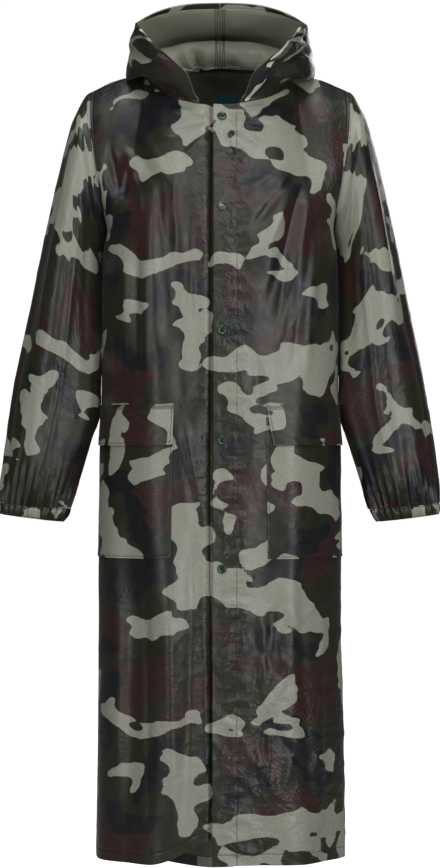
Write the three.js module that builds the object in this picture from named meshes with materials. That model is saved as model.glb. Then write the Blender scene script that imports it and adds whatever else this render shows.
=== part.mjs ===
// A long hooded raincoat, snapped shut and filled out as it hangs on a wearer, with nobody in it.
// Millimetres, +Z up, -Y is the front and +X the wearer's left. The origin is the point between the
// shoulders, level with the base of the neck, where a wearer carries the coat.
// Every piece of cloth is a thin closed wall: a grid of points on its outside, and the same grid moved
// in along its normals.
import * as THREE from "three";

const WALL = 2; // cloth, as a solid wall
const TRIM = 1; // hems and label
const SEAM = 0.4; // parting between two edges that are sewn together
const LEFT = 1;
const RIGHT = -1;
const DEGREE = Math.PI / 180;

// ---------------------------------------------------------------- sizes

const ARMPIT_Z = -235; // the side seams end here and the armholes start
const HEM_FRONT_Z = -1226;
const HEM_BACK_DROP = 50; // the back hem hangs this much lower at its middle
const HEM_CORNER_LIFT = 42; // the under front's corner is swung up by this at the closing edge
const ROUNDNESS = 2.6; // power of the body's superellipse sections

// Horizontal sections of the body: half width, and reach to the front and back.
const BODY = [
  { z: -1280, half: 198.5, front: 166, back: 170 },
  { z: -1000, half: 194, front: 160, back: 165 },
  { z: -700, half: 191, front: 152, back: 158 },
  { z: -500, half: 189, front: 146, back: 152 },
  { z: -330, half: 188, front: 142, back: 148 },
  { z: -270, half: 186, front: 140, back: 147 },
  { z: -235, half: 180, front: 138, back: 146 },
];

// Long soft folds of the body: ridges (+) and troughs (-), by angle round from the front.
const BODY_FOLDS = [
  { angle: -66, width: 8, depth: 4, top: -420 },
  { angle: -50, width: 7, depth: -5, top: -300 },
  { angle: -36, width: 8, depth: 7, top: -260 },
  { angle: -17, width: 6, depth: -7, top: -600 },
  { angle: 24, width: 7, depth: -5, top: -380 },
  { angle: 40, width: 7, depth: 6, top: -280 },
  { angle: 57, width: 7, depth: -5, top: -330 },
  { angle: 74, width: 7, depth: 5, top: -560 },
  { angle: 104, width: 8, depth: -6, top: -420 },
  { angle: 124, width: 9, depth: 8, top: -330 },
  { angle: 146, width: 8, depth: -7, top: -520 },
  { angle: 166, width: 9, depth: 7, top: -300 },
  { angle: -170, width: 8, depth: -7, top: -380 },
  { angle: -149, width: 9, depth: 8, top: -460 },
  { angle: -127, width: 8, depth: -7, top: -300 },
  { angle: -106, width: 8, depth: 6, top: -520 },
];
const FOLD_GROWTH = 700; // a fold reaches its full depth this far below its top

// Shorter creases, from one point to another as seen from the front or the back.
const FRONT_CREASES = [
  { x1: -172, z1: -110, x2: -150, z2: -205, width: 13, depth: -6 },
  { x1: -150, z1: -205, x2: -122, z2: -130, width: 13, depth: -5 },
  { x1: -140, z1: -100, x2: -134, z2: -170, width: 12, depth: 4 },
  { x1: -112, z1: -170, x2: -104, z2: -470, width: 15, depth: 5 },
  { x1: -84, z1: -210, x2: -80, z2: -440, width: 13, depth: -5 },
  { x1: 118, z1: -120, x2: 62, z2: -330, width: 15, depth: 5 },
  { x1: 124, z1: -130, x2: 94, z2: -400, width: 14, depth: -6 },
  { x1: 140, z1: -140, x2: 130, z2: -450, width: 14, depth: 5 },
  { x1: 158, z1: -190, x2: 156, z2: -420, width: 12, depth: -4 },
];
const BACK_CREASES = [
  { x1: -150, z1: -110, x2: -80, z2: -330, width: 16, depth: 6 },
  { x1: -158, z1: -150, x2: -120, z2: -420, width: 14, depth: -6 },
  { x1: 146, z1: -120, x2: 96, z2: -360, width: 16, depth: -6 },
  { x1: 156, z1: -140, x2: 132, z2: -400, width: 14, depth: 6 },
  { x1: -60, z1: 0, x2: -30, z2: -260, width: 18, depth: 4 },
  { x1: 58, z1: -10, x2: 40, z2: -300, width: 18, depth: -5 },
];
const CREASE_EDGE = 14; // creases die out over this many degrees from a panel's side

const SHOULDER = { tipX: 205, y: 5, tipZ: -10, arch: 3.5 };
const NECK = { half: 118, y: 8, z: 19, front: 104, frontDrop: 60, back: 72, backRise: 16 };
const LAP = { left: 10, right: 26 }; // how far each front runs past the middle
const LAP_DEPTH = WALL + 0.8; // the right front lies this much further in, under the left one
const LAP_RAMP = { from: 14, to: 5.5 }; // over these angles it goes down under it

// Panel columns, as degrees round from the middle of the front or of the back. The corner between
// neckline and shoulder seam stands over the column at NECK_FOOT.
const FRONT_COLUMNS = [90, 84, 77, 70, 62, 55, 48, 41, 34, 27, 19.5, 14, 8.5, 4];
const BACK_COLUMNS = [-90, -81, -72, -63, -54, -45, -36, -27, -18, -9, 0, 9, 18, 27, 36, 45, 54, 63, 72, 81, 90];
const NECK_FOOT = { front: 55, back: 54 };
const NECK_SPREAD = 0.715; // keeps the closing edge straight where the columns turn in to the neckline

// Panel rows: heights up to the armpit, then even shares of the way to the top edge.
const FRONT_LEVELS = [HEM_FRONT_Z, -1130, -1030, -930, -835, -752, -694, -636, -576, -532, -512, -440, -370, -300, -262, -235];
const BACK_LEVELS = [HEM_FRONT_Z, -1130, -1030, -930, -835, -740, -645, -550, -460, -370, -300, -262, -235];
const YOKE_ROWS = 9;

// How each column of a panel leaves the armpit level (rise) and arrives at its top edge (fall).
const FRONT_YOKE = [
  { column: 90, riseY: -112, riseZ: 24, fallX: 9, fallY: -74, fallZ: -66 },
  { column: 55, riseY: -6, riseZ: 88, fallX: 0, fallY: -52, fallZ: -34 },
  { column: 16, riseY: 6, riseZ: 76, fallX: 0, fallY: -20, fallZ: -52 },
  { column: 0, riseY: 6, riseZ: 76, fallX: 0, fallY: -20, fallZ: -52 },
];
const BACK_YOKE = [
  { column: 0, riseY: 0, riseZ: 90, fallX: 0, fallY: 44, fallZ: -34 },
  { column: 54, riseY: 4, riseZ: 88, fallX: 0, fallY: 60, fallZ: -18 },
  { column: 90, riseY: 116, riseZ: 24, fallX: 9, fallY: 76, fallZ: -66 },
];

// Sleeve sections: the outermost and innermost points seen from the front, and the half depth.
const SLEEVE = [
  { outX: 233, outZ: -52, inX: 192, inZ: -262, depth: 76, y: 4 },
  { outX: 252, outZ: -118, inX: 193, inZ: -312, depth: 80, y: 2 },
  { outX: 270, outZ: -196, inX: 193, inZ: -366, depth: 80, y: -2 },
  { outX: 289, outZ: -284, inX: 193, inZ: -424, depth: 77, y: -8 },
  { outX: 307, outZ: -376, inX: 193.5, inZ: -480, depth: 72, y: -14 },
  { outX: 325, outZ: -466, inX: 195, inZ: -532, depth: 66, y: -20 },
  { outX: 337.5, outZ: -550, inX: 208, inZ: -584, depth: 60, y: -26 },
  { outX: 346, outZ: -626, inX: 226, inZ: -640, depth: 53, y: -31 },
  { outX: 347.5, outZ: -667, inX: 239, inZ: -676, depth: 46, y: -34 },
];
const CUFF = { outX: 346.5, outZ: -685, inX: 250, inZ: -697, depth: 44, swell: 2.5 };
const SLEEVE_FOLDS = [
  { turn: 0.08, width: 0.05, depth: -6, from: 0.2, to: 0.75 },
  { turn: 0.17, width: 0.05, depth: 5, from: 0.1, to: 0.6 },
  { turn: 0.3, width: 0.05, depth: -5, from: 0.15, to: 0.7 },
  { turn: 0.66, width: 0.06, depth: -6, from: 0.15, to: 0.8 },
  { turn: 0.78, width: 0.06, depth: 6, from: 0.2, to: 0.9 },
  { turn: 0.9, width: 0.05, depth: -5, from: 0.1, to: 0.7 },
];
const GATHERS = { cuff: 18, cuffDepth: 2.2, sleeve: 9, sleeveDepth: 4, from: 0.8 };
const ARMHOLE_PULL = 34; // how strongly the sleeve follows the body as it leaves the armhole

// Hood rings, from just above the neck seam to the rim. Each ring runs from the front edge round the
// side to the middle of the back; the last one is the rim over the forehead.
const HOOD = [
  { half: 131, side: 6, back: 66, front: -98, edge: 41, backZ: 50, sideZ: 21, frontZ: -24 },
  { half: 147.5, side: 5, back: 59, front: -106, edge: 45, backZ: 66, sideZ: 17.5, frontZ: -10 },
  { half: 151, side: 4, back: 68, front: -112, edge: 51, backZ: 79, sideZ: 27, frontZ: 4 },
  { half: 148.5, side: 6, back: 98, front: -116, edge: 60, backZ: 67, sideZ: 38, frontZ: 14 },
  { half: 147.5, side: 8, back: 122, front: -118, edge: 70, backZ: 36, sideZ: 47, frontZ: 22 },
  { half: 146, side: 8, back: 152, front: -119, edge: 80, backZ: 28, sideZ: 55, frontZ: 31 },
  { half: 144, side: 5, back: 171, front: -119, edge: 90, backZ: 55, sideZ: 62, frontZ: 40 },
  { half: 141.5, side: -5, back: 142, front: -118, edge: 99, backZ: 83, sideZ: 70, frontZ: 49 },
  { half: 139, side: -25, back: 70, front: -116, edge: 107, backZ: 92, sideZ: 78, frontZ: 57 },
  { half: 136, side: -58, back: -20, front: -114, edge: 114, backZ: 98, sideZ: 84, frontZ: 64 },
  { half: 133, side: -90, back: -92, front: -112, edge: 121, backZ: 104, sideZ: 86, frontZ: 71 },
  { half: 130, side: -106, back: -112, front: -108, edge: 126, backZ: 116, sideZ: 86, frontZ: 77 },
];
const HOOD_SIDE_AT = 0.5; // share of a ring from the front edge to the side
const HOOD_START = 14; // the hood starts over this column of the fronts
const HOOD_LIP = 5; // it rises this much before it flares
const HOOD_ARCH = 2.9; // how flat a ring stays over the middle before it falls to the side
const HOOD_ROWS = 22; // the last of them, and the first column, are the width of the turned-in hem

// Pockets and flaps take up the front's own columns and rows; stand is their height off it, row by row
// from the bottom, at the outer edge and in the middle.
const POCKET = {
  columns: [84, 27],
  levels: [-752, -532],
  stand: [
    { outer: 0.4, middle: 0.4 },
    { outer: 0.4, middle: 2 },
    { outer: 0.4, middle: 2.6 },
    { outer: 0.4, middle: 2 },
    { outer: 0.4, middle: 1 },
  ],
};
const FLAP = {
  columns: [84, 27],
  levels: [-576, -512],
  stand: [
    { outer: 2.8, middle: 7.5 },
    { outer: 2.8, middle: 4.2 },
    { outer: 0.4, middle: 0.4 },
  ],
};
const SNAP = { x: 3, radius: 7, height: 3, sides: 14, levels: [-60, -204, -397, -568, -767] };
const LABEL = { x: 12, width: 30, top: -6, bottom: -44, columns: 3, stand: 0.5 };

const COLOUR = {
  print: 0x4a4a3d,
  dark: 0x33322e,
  snap: 0x1f4a2c,
  label: 0x1d6273,
};

// ---------------------------------------------------------------- small maths

const lerp = THREE.MathUtils.lerp;
const clamp01 = (t) => THREE.MathUtils.clamp(t, 0, 1);
const ease = (t) => THREE.MathUtils.smoothstep(t, 0, 1);
const bell = (offset, width) => Math.exp(-((offset / width) ** 2));
const vector = (x, y, z) => new THREE.Vector3(x, y, z);
const range = (count) => Array.from({ length: count }, (_, i) => i);

// Cubic through four values, from b (t = 0) to c (t = 1).
function spline(a, b, c, d, t) {
  const slope = (c - a) / 2;
  const end = (d - b) / 2;
  const square = t * t;
  const cube = square * t;
  const first = b * (2 * cube - 3 * square + 1) + slope * (cube - 2 * square + t);
  return first + c * (3 * square - 2 * cube) + end * (cube - square);
}

// A column of a table at a value of its key, which rises or falls from row to row.
function read(table, key, column, value) {
  const last = table.length - 1;
  const rising = table[last][key] > table[0][key];
  const past = (row) => (rising ? row[key] > value : row[key] < value);
  const next = table.findIndex(past);
  const i = next < 0 ? last - 1 : Math.max(next - 1, 0);
  const t = clamp01((value - table[i][key]) / (table[i + 1][key] - table[i][key]));
  const at = (row) => table[THREE.MathUtils.clamp(row, 0, last)][column];
  return spline(at(i - 1), at(i), at(i + 1), at(i + 2), t);
}

// A point along a list of points, 0 at the first and 1 at the last, with a chosen starting tangent.
function along(points, share, start) {
  const last = points.length - 1;
  const place = clamp01(share) * last;
  const i = Math.min(Math.floor(place), last - 1);
  const lead = start ? points[1].clone().addScaledVector(start, -2) : points[0];
  const before = i > 0 ? points[i - 1] : lead;
  const after = points[Math.min(i + 2, last)];
  const coordinate = (k) => spline(before[k], points[i][k], points[i + 1][k], after[k], place - i);
  return vector(coordinate("x"), coordinate("y"), coordinate("z"));
}

function bezier(p0, p1, p2, p3, t) {
  const s = 1 - t;
  return vector(0, 0, 0)
    .addScaledVector(p0, s * s * s)
    .addScaledVector(p1, 3 * s * s * t)
    .addScaledVector(p2, 3 * s * t * t)
    .addScaledVector(p3, t * t * t);
}

// ---------------------------------------------------------------- walls

// Unit normals of a grid of points, all on one side of it.
function normalsOf(grid, closed) {
  const rows = grid.length;
  const columns = grid[0].length;
  const wrap = (j) => (closed ? (j + columns) % columns : THREE.MathUtils.clamp(j, 0, columns - 1));
  return grid.map((row, i) =>
    row.map((_, j) => {
      const across = row[wrap(j + 1)].clone().sub(row[wrap(j - 1)]);
      const up = grid[Math.min(i + 1, rows - 1)][j].clone().sub(grid[Math.max(i - 1, 0)][j]);
      return across.cross(up).normalize();
    }),
  );
}

const turned = (normals, sign) => normals.map((row) => row.map((n) => n.multiplyScalar(sign)));

const moved = (grid, normals, distance) =>
  grid.map((row, i) => row.map((p, j) => p.clone().addScaledVector(normals[i][j], distance)));

// The closed body between two grids that face each other. Rows from crossed on have their squares cut
// along the other diagonal.
function wallBetween(outer, inner, closed, crossed = Infinity) {
  const rows = outer.length;
  const columns = outer[0].length;
  const positions = [...outer.flat(), ...inner.flat()].flatMap((p) => [p.x, p.y, p.z]);
  const index = [];
  const near = (i, j) => i * columns + (j % columns);
  const far = (i, j) => near(i, j) + rows * columns;
  const quad = (a, b, c, d) => index.push(a, b, c, a, c, d);
  for (const i of range(rows - 1)) {
    for (const j of range(closed ? columns : columns - 1)) {
      const square = (at) => [at(i, j), at(i, j + 1), at(i + 1, j + 1), at(i + 1, j)];
      const [a, b, c, d] = square(near);
      const [e, f, g, h] = square(far);
      if (i < crossed) quad(a, b, c, d);
      else quad(b, c, d, a);
      if (i < crossed) quad(e, h, g, f);
      else quad(f, e, h, g);
    }
    if (!closed) {
      const end = columns - 1;
      quad(near(i, 0), near(i + 1, 0), far(i + 1, 0), far(i, 0));
      quad(near(i, end), far(i, end), far(i + 1, end), near(i + 1, end));
    }
  }
  const top = rows - 1;
  for (const j of range(closed ? columns : columns - 1)) {
    quad(near(0, j), far(0, j), far(0, j + 1), near(0, j + 1));
    quad(near(top, j), near(top, j + 1), far(top, j + 1), far(top, j));
  }
  return facingOut(positions, index);
}

// A geometry whose faces point out, whichever way round they were listed.
function facingOut(positions, index) {
  const point = (k) => vector(...positions.slice(3 * k, 3 * k + 3));
  let volume = 0;
  for (let i = 0; i < index.length; i += 3) {
    const [a, b, c] = [point(index[i]), point(index[i + 1]), point(index[i + 2])];
    volume += a.dot(b.cross(c));
  }
  if (volume < 0) index.reverse();
  const geometry = new THREE.BufferGeometry();
  geometry.setAttribute("position", new THREE.Float32BufferAttribute(positions, 3));
  geometry.setIndex(index);
  geometry.computeVertexNormals();
  return geometry;
}

// ---------------------------------------------------------------- body

function bodyPoint(angle, z) {
  const sine = Math.sin(angle);
  const cosine = Math.cos(angle);
  const reach = read(BODY, "z", cosine > 0 ? "front" : "back", z);
  const half = read(BODY, "z", "half", z);
  const sum = Math.abs(sine / half) ** ROUNDNESS + Math.abs(cosine / reach) ** ROUNDNESS;
  const radius = sum ** (-1 / ROUNDNESS) + bodyFold(angle, z);
  return vector(radius * sine, -radius * cosine, z);
}

function bodyFold(angle, z) {
  const turn = angle / DEGREE;
  return BODY_FOLDS.reduce((sum, fold) => {
    const offset = ((((turn - fold.angle + 180) % 360) + 360) % 360) - 180;
    return sum + fold.depth * bell(offset, fold.width) * ease((fold.top - z) / FOLD_GROWTH);
  }, 0);
}

// The neckline: 0 at the middle of the front, 90 at the side, 180 at the middle of the back.
function neckPoint(side, degrees) {
  const sine = Math.sin(degrees * DEGREE);
  const cosine = Math.cos(degrees * DEGREE);
  const ahead = Math.max(cosine, 0);
  const behind = Math.max(-cosine, 0);
  const z = NECK.z - NECK.frontDrop * ahead + NECK.backRise * behind ** 1.5;
  return vector(side * NECK.half * sine, NECK.y - NECK.front * ahead + NECK.back * behind, z);
}

// Top edge of a panel from the shoulder tip (share 0) to the neck point (1), on one side of the seam.
function shoulderPoint(side, share, seamSide) {
  const x = lerp(SHOULDER.tipX, NECK.half, share);
  const y = lerp(SHOULDER.y, NECK.y, share) + seamSide * (SEAM / 2);
  const z = lerp(SHOULDER.tipZ, NECK.z, share) + SHOULDER.arch * Math.sin(Math.PI * share);
  return vector(side * x, y, z);
}

// A column over the chest or the upper back, from the armpit level to its top edge.
function yokeColumn(foot, head, side, yoke, column, share) {
  const pull = (name) => read(yoke, "column", name, column);
  const rise = foot.clone().add(vector(0, pull("riseY"), pull("riseZ")));
  const fall = head.clone().add(vector(side * pull("fallX"), pull("fallY"), pull("fallZ")));
  return bezier(foot, rise, fall, head, share);
}

const SEAM_ANGLE = SEAM / 2 / read(BODY, "z", "half", ARMPIT_Z);

// A column's foot turns with it, stopping just short of the side seam.
const footAngle = (column) =>
  Math.sign(column) * Math.min(Math.abs(column) * DEGREE, Math.PI / 2 - SEAM_ANGLE);

function neckDegrees(column) {
  const share = column / NECK_FOOT.front;
  return 90 * share * (NECK_SPREAD + (1 - NECK_SPREAD) * share * share);
}

// A front: columns run from the side seam (90) past the middle (0), v from the hem (-1) by the armpit
// (0) to the top edge (1).
function frontPoint(side, column, v) {
  const angle = side * footAngle(column);
  if (v <= 0) {
    const lift = side === RIGHT ? HEM_CORNER_LIFT * ease((36 - column) / 36) : 0;
    return bodyPoint(angle, lerp(ARMPIT_Z, HEM_FRONT_Z + lift, -v));
  }
  const head =
    column > NECK_FOOT.front
      ? shoulderPoint(side, (90 - column) / (90 - NECK_FOOT.front), -1)
      : neckPoint(side, neckDegrees(column)).add(vector(0, (-column / NECK_FOOT.front) * (SEAM / 2), 0));
  return yokeColumn(bodyPoint(angle, ARMPIT_Z), head, side, FRONT_YOKE, Math.abs(column), v);
}

// The back: columns run from the right side seam (-90) to the left one (90), v as in a front.
function backPoint(column, v) {
  const side = column < 0 ? RIGHT : LEFT;
  const out = Math.abs(column);
  const angle = Math.PI - footAngle(column);
  if (v <= 0) {
    const drop = HEM_BACK_DROP * ease(1 - out / 90);
    return bodyPoint(angle, lerp(ARMPIT_Z, HEM_FRONT_Z - drop, -v));
  }
  const head =
    out > NECK_FOOT.back
      ? shoulderPoint(side, (90 - out) / (90 - NECK_FOOT.back), 1)
      : neckPoint(side, lerp(180, 90, out / NECK_FOOT.back)).add(
          vector(0, (out / NECK_FOOT.back) * (SEAM / 2), 0),
        );
  return yokeColumn(bodyPoint(angle, ARMPIT_Z), head, side, BACK_YOKE, out, v);
}

const panelRows = (levels) => [
  ...levels.map((z) => (z - ARMPIT_Z) / (ARMPIT_Z - HEM_FRONT_Z)),
  ...range(YOKE_ROWS).map((i) => (i + 1) / YOKE_ROWS),
];

// How far a panel stands out at a point of it because of its short creases.
function creaseAt(creases, column, { x, z }) {
  const fade = ease((90 - Math.abs(column)) / CREASE_EDGE);
  return creases.reduce((sum, { x1, z1, x2, z2, width, depth }) => {
    const length = Math.hypot(x2 - x1, z2 - z1);
    const on = ((x - x1) * (x2 - x1) + (z - z1) * (z2 - z1)) / length;
    const off = ((x - x1) * (z2 - z1) - (z - z1) * (x2 - x1)) / length;
    const ends = ease(on / length / 0.3) * ease((1 - on / length) / 0.3);
    return sum + fade * depth * bell(off, width) * ends;
  }, 0);
}

// Where two panels are sewn together, their walls go in along the same plane.
function squareToSeams(normals, levels, seams) {
  normals.forEach((row, i) =>
    row.forEach((n, j) => {
      const onSide = seams.sides.includes(j) && i < levels.length;
      const onShoulder = seams.shoulder(j) && i === normals.length - 1;
      if (onSide || onShoulder) n.setY(0).normalize();
    }),
  );
  return normals;
}

const FRONT_EDGES = {
  [LEFT]: -Math.atan(LAP.left / 140) / DEGREE,
  [RIGHT]: -Math.atan(LAP.right / 140) / DEGREE,
};
const frontColumns = (side) => [
  ...FRONT_COLUMNS,
  ...(side === RIGHT ? [-3] : []),
  FRONT_EDGES[side],
];

// A front's outside, the way in from it, and its rows and columns.
function frontPanel(side) {
  const columns = frontColumns(side);
  const plain = panelRows(FRONT_LEVELS).map((v) => columns.map((column) => frontPoint(side, column, v)));
  const inward = (grid) => turned(normalsOf(grid, false), side);
  const { from, to } = LAP_RAMP;
  const under = (column) => (side === RIGHT ? LAP_DEPTH * ease((from - column) / (from - to)) : 0);
  const ways = inward(plain);
  const grid = plain.map((row, i) =>
    row.map((p, j) => {
      const depth = under(columns[j]) - creaseAt(FRONT_CREASES, columns[j], p);
      return p.clone().addScaledVector(ways[i][j], depth);
    }),
  );
  const seams = { sides: [0], shoulder: (j) => columns[j] >= NECK_FOOT.front };
  return { grid, ways: squareToSeams(inward(grid), FRONT_LEVELS, seams), columns };
}

function backPanel() {
  const columns = BACK_COLUMNS;
  const plain = panelRows(BACK_LEVELS).map((v) => columns.map((column) => backPoint(column, v)));
  const ways = turned(normalsOf(plain, false), 1);
  const grid = plain.map((row, i) =>
    row.map((p, j) => p.clone().addScaledVector(ways[i][j], -creaseAt(BACK_CREASES, columns[j], p))),
  );
  const seams = {
    sides: [0, columns.length - 1],
    shoulder: (j) => Math.abs(columns[j]) >= NECK_FOOT.back,
  };
  return { grid, ways: squareToSeams(turned(normalsOf(grid, false), 1), BACK_LEVELS, seams), columns };
}

const BACK = backPanel();
const FRONTS = { [LEFT]: frontPanel(LEFT), [RIGHT]: frontPanel(RIGHT) };

const panelWall = ({ grid, ways }) => wallBetween(grid, moved(grid, ways, WALL), false);

// ---------------------------------------------------------------- sleeves

// The armhole: turn 0 at the shoulder tip, 0.5 at the armpit, through the front, and on up the back.
// Gives the point on the panels' edge, the way in there, and the way off the edge.
function armhole(side, turn) {
  const front = turn <= 0.5;
  const { grid, ways } = front ? FRONTS[side] : BACK;
  const climb = (front ? 1 - 2 * turn : 2 * turn - 1) * YOKE_ROWS;
  const foot = grid.length - 1 - YOKE_ROWS;
  const low = Math.min(Math.floor(climb + 1e-9), YOKE_ROWS - 1);
  const share = climb - low;
  const edge = front || side === RIGHT ? 0 : grid[0].length - 1;
  const inside = edge === 0 ? 1 : edge - 1;
  const between = (rows, column) => rows[foot + low][column].clone().lerp(rows[foot + low + 1][column], share);
  const point = between(grid, edge);
  const rise = grid[foot + low + 1][edge].clone().sub(grid[foot + low][edge]);
  const away = point.clone().sub(between(grid, inside));
  away.addScaledVector(rise, -away.dot(rise) / rise.lengthSq()).normalize();
  return { point, way: between(ways, edge).normalize(), away };
}

function sleeveSection(side, row, turn) {
  const cosine = Math.cos(turn * 2 * Math.PI);
  const sine = Math.sin(turn * 2 * Math.PI);
  return vector(
    side * (lerp(row.inX, row.outX, 0.5) + ((row.outX - row.inX) / 2) * cosine),
    row.y - row.depth * sine,
    lerp(row.inZ, row.outZ, 0.5) + ((row.outZ - row.inZ) / 2) * cosine,
  );
}

function sleeveFold(turn, share) {
  return SLEEVE_FOLDS.reduce((sum, fold) => {
    const offset = ((((turn - fold.turn + 0.5) % 1) + 1) % 1) - 0.5;
    const middle = (fold.from + fold.to) / 2;
    return sum + fold.depth * bell(offset, fold.width) * bell(share - middle, (fold.to - fold.from) / 2);
  }, 0);
}

// Pushes a ring's points out and in round it, within its own plane.
function gathered(ring, count, depth, puff) {
  const middle = ring.reduce((sum, p) => sum.add(p), vector(0, 0, 0)).divideScalar(ring.length);
  return ring.map((p, j) => {
    const swell = puff + depth * Math.cos((j / ring.length) * 2 * Math.PI * count);
    return p.clone().addScaledVector(p.clone().sub(middle).normalize(), swell);
  });
}

// The ways in round a flat ring, within its own plane.
function ringWays(ring) {
  const middle = ring.reduce((sum, p) => sum.add(p), vector(0, 0, 0)).divideScalar(ring.length);
  const axis = ring[0].clone().sub(middle).cross(ring[Math.floor(ring.length / 4)].clone().sub(middle));
  return ring.map((p, j) => {
    const before = ring[(j + ring.length - 1) % ring.length];
    const run = ring[(j + 1) % ring.length].clone().sub(before);
    const way = run.cross(axis).normalize();
    return way.dot(middle.clone().sub(p)) < 0 ? way.negate() : way;
  });
}

const SLEEVE_COLUMNS = 4 * YOKE_ROWS;
const SLEEVE_ROWS = [0, 0.025, 0.06, 0.12, 0.2, 0.29, 0.39, 0.5, 0.61, 0.72, 0.82, 0.89, 0.95, 1];

function sleeveWall(side) {
  const seams = range(SLEEVE_COLUMNS).map((j) => armhole(side, j / SLEEVE_COLUMNS));
  const plain = SLEEVE_ROWS.map((share) =>
    seams.map(({ point, away }, j) => {
      const start = point.clone().addScaledVector(away, SEAM);
      const stations = SLEEVE.map((row) => sleeveSection(side, row, j / SLEEVE_COLUMNS));
      return along([start, ...stations], share, away.clone().multiplyScalar(ARMHOLE_PULL));
    }),
  );
  const inward = (grid) => turned(normalsOf(grid, true), side);
  const smooth = inward(plain);
  const grid = plain.map((row, i) => {
    const share = SLEEVE_ROWS[i];
    const folded = row.map((p, j) =>
      p.clone().addScaledVector(smooth[i][j], -sleeveFold(j / SLEEVE_COLUMNS, share)),
    );
    const depth = GATHERS.sleeveDepth * ease((share - GATHERS.from) / (1 - GATHERS.from));
    return depth > 0 ? gathered(folded, GATHERS.sleeve, depth, 0) : folded;
  });
  const ways = inward(grid);
  ways[0] = seams.map(({ way }) => way);
  ways[grid.length - 1] = ringWays(grid[grid.length - 1]);
  return wallBetween(grid, moved(grid, ways, WALL), true);
}

// The gathered band that holds the elastic at a sleeve's end.
function cuffWall(side) {
  const columns = GATHERS.cuff * 4;
  const end = SLEEVE[SLEEVE.length - 1];
  const grid = [0.03, 0.5, 1].map((share) => {
    const row = { y: end.y };
    for (const key of ["outX", "outZ", "inX", "inZ", "depth"]) row[key] = lerp(end[key], CUFF[key], share);
    const ring = range(columns).map((j) => sleeveSection(side, row, j / columns));
    return gathered(ring, GATHERS.cuff, GATHERS.cuffDepth, CUFF.swell * Math.sin(Math.PI * share));
  });
  return wallBetween(grid, moved(grid, grid.map(ringWays), WALL), true);
}

// ---------------------------------------------------------------- hood

// Quarter circles from the front edge (u = 0) to the side, and on to the middle of the back (u = 1).
function hoodAngles(u) {
  const ahead = clamp01(1 - u / HOOD_SIDE_AT);
  const behind = clamp01((u - HOOD_SIDE_AT) / (1 - HOOD_SIDE_AT));
  return { ahead: (ahead * Math.PI) / 2, behind: (behind * Math.PI) / 2 };
}

// The hood's lower edge stands on the neckline, column over column.
function hoodBase(side, u) {
  const { ahead, behind } = hoodAngles(u);
  if (behind > 0) return neckPoint(side, 90 + behind / DEGREE).add(vector(0, 0, SEAM));
  const front = FRONT_COLUMNS.filter((column) => column <= NECK_FOOT.front && column >= HOOD_START);
  const place = (1 - ahead / (Math.PI / 2)) * (front.length - 1);
  const i = Math.min(Math.floor(place), front.length - 2);
  const column = lerp(front[front.length - 1 - i], front[front.length - 2 - i], place - i);
  return neckPoint(side, neckDegrees(column)).add(vector(0, 0, SEAM));
}

function hoodRing(side, ring, u) {
  const { ahead, behind } = hoodAngles(u);
  if (behind > 0) {
    const near = Math.cos(behind);
    return vector(
      side * ring.half * near,
      lerp(ring.side, ring.back, Math.sin(behind)),
      lerp(ring.backZ, ring.sideZ, near ** HOOD_ARCH),
    );
  }
  return vector(
    side * lerp(ring.edge, ring.half, Math.cos(ahead)),
    lerp(ring.side, ring.front, Math.sin(ahead)),
    lerp(ring.sideZ, ring.frontZ, 1 - Math.cos(ahead)),
  );
}

// A point of the hood's outside: u from the front edge to the middle, v from the neck seam to the rim.
function hoodPoint(side, u, v) {
  const base = hoodBase(side, u);
  const lip = base.clone().add(vector(0, 0, HOOD_LIP));
  const rings = HOOD.map((ring) => hoodRing(side, ring, u));
  return along([base, lip, ...rings], v).add(vector((side * SEAM) / 2, 0, 0));
}

const HOOD_COLUMNS = 12;

function hoodPanel(side) {
  const grid = range(HOOD_ROWS + 1).map((i) =>
    range(HOOD_COLUMNS + 1).map((j) => hoodPoint(side, j / HOOD_COLUMNS, i / HOOD_ROWS)),
  );
  const ways = turned(normalsOf(grid, false), side);
  for (const row of ways) row[HOOD_COLUMNS].setX(0).normalize();
  return { grid, ways };
}

const HOODS = { [LEFT]: hoodPanel(LEFT), [RIGHT]: hoodPanel(RIGHT) };

// The hem turned in along the hood's opening, up the side and over the rim to the middle.
function hoodHemWall(side) {
  const { grid, ways } = HOODS[side];
  const top = HOOD_ROWS;
  const stops = [
    ...range(top - 1).map((i) => [[i, 0], [i, 1]]),
    [[top, 0], [top - 1, 1]],
    ...range(HOOD_COLUMNS - 1).map((j) => [[top, j + 2], [top - 1, j + 2]]),
  ];
  const corner = top - 1;
  const layer = (depth) =>
    stops.map((stop, k) => {
      const proud = Math.max(0, 1 - Math.abs(k - corner) / 2);
      return stop.map(([i, j]) => grid[i][j].clone().addScaledVector(ways[i][j], depth + proud));
    });
  return wallBetween(layer(WALL + SEAM), layer(WALL + SEAM + TRIM), false, corner);
}

// ---------------------------------------------------------------- what lies on the panels

// A piece over part of a front: its own points moved out, by a stand for each row.
function overlayWall(side, { columns, levels, stand }) {
  const panel = FRONTS[side];
  const [first, last] = columns.map((column) => panel.columns.indexOf(column));
  const [bottom, top] = levels.map((z) => FRONT_LEVELS.indexOf(z));
  const layer = (extra) =>
    range(top - bottom + 1).map((i) =>
      range(last - first + 1).map((j) => {
        const across = Math.sin((Math.PI * j) / (last - first)) ** 0.6;
        const lift = lerp(stand[i].outer, stand[i].middle, j / (last - first) < 0.5 ? across : 1);
        const point = panel.grid[bottom + i][first + j].clone();
        return point.addScaledVector(panel.ways[bottom + i][first + j], -lift - extra);
      }),
    );
  return wallBetween(layer(WALL), layer(0), false);
}

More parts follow.
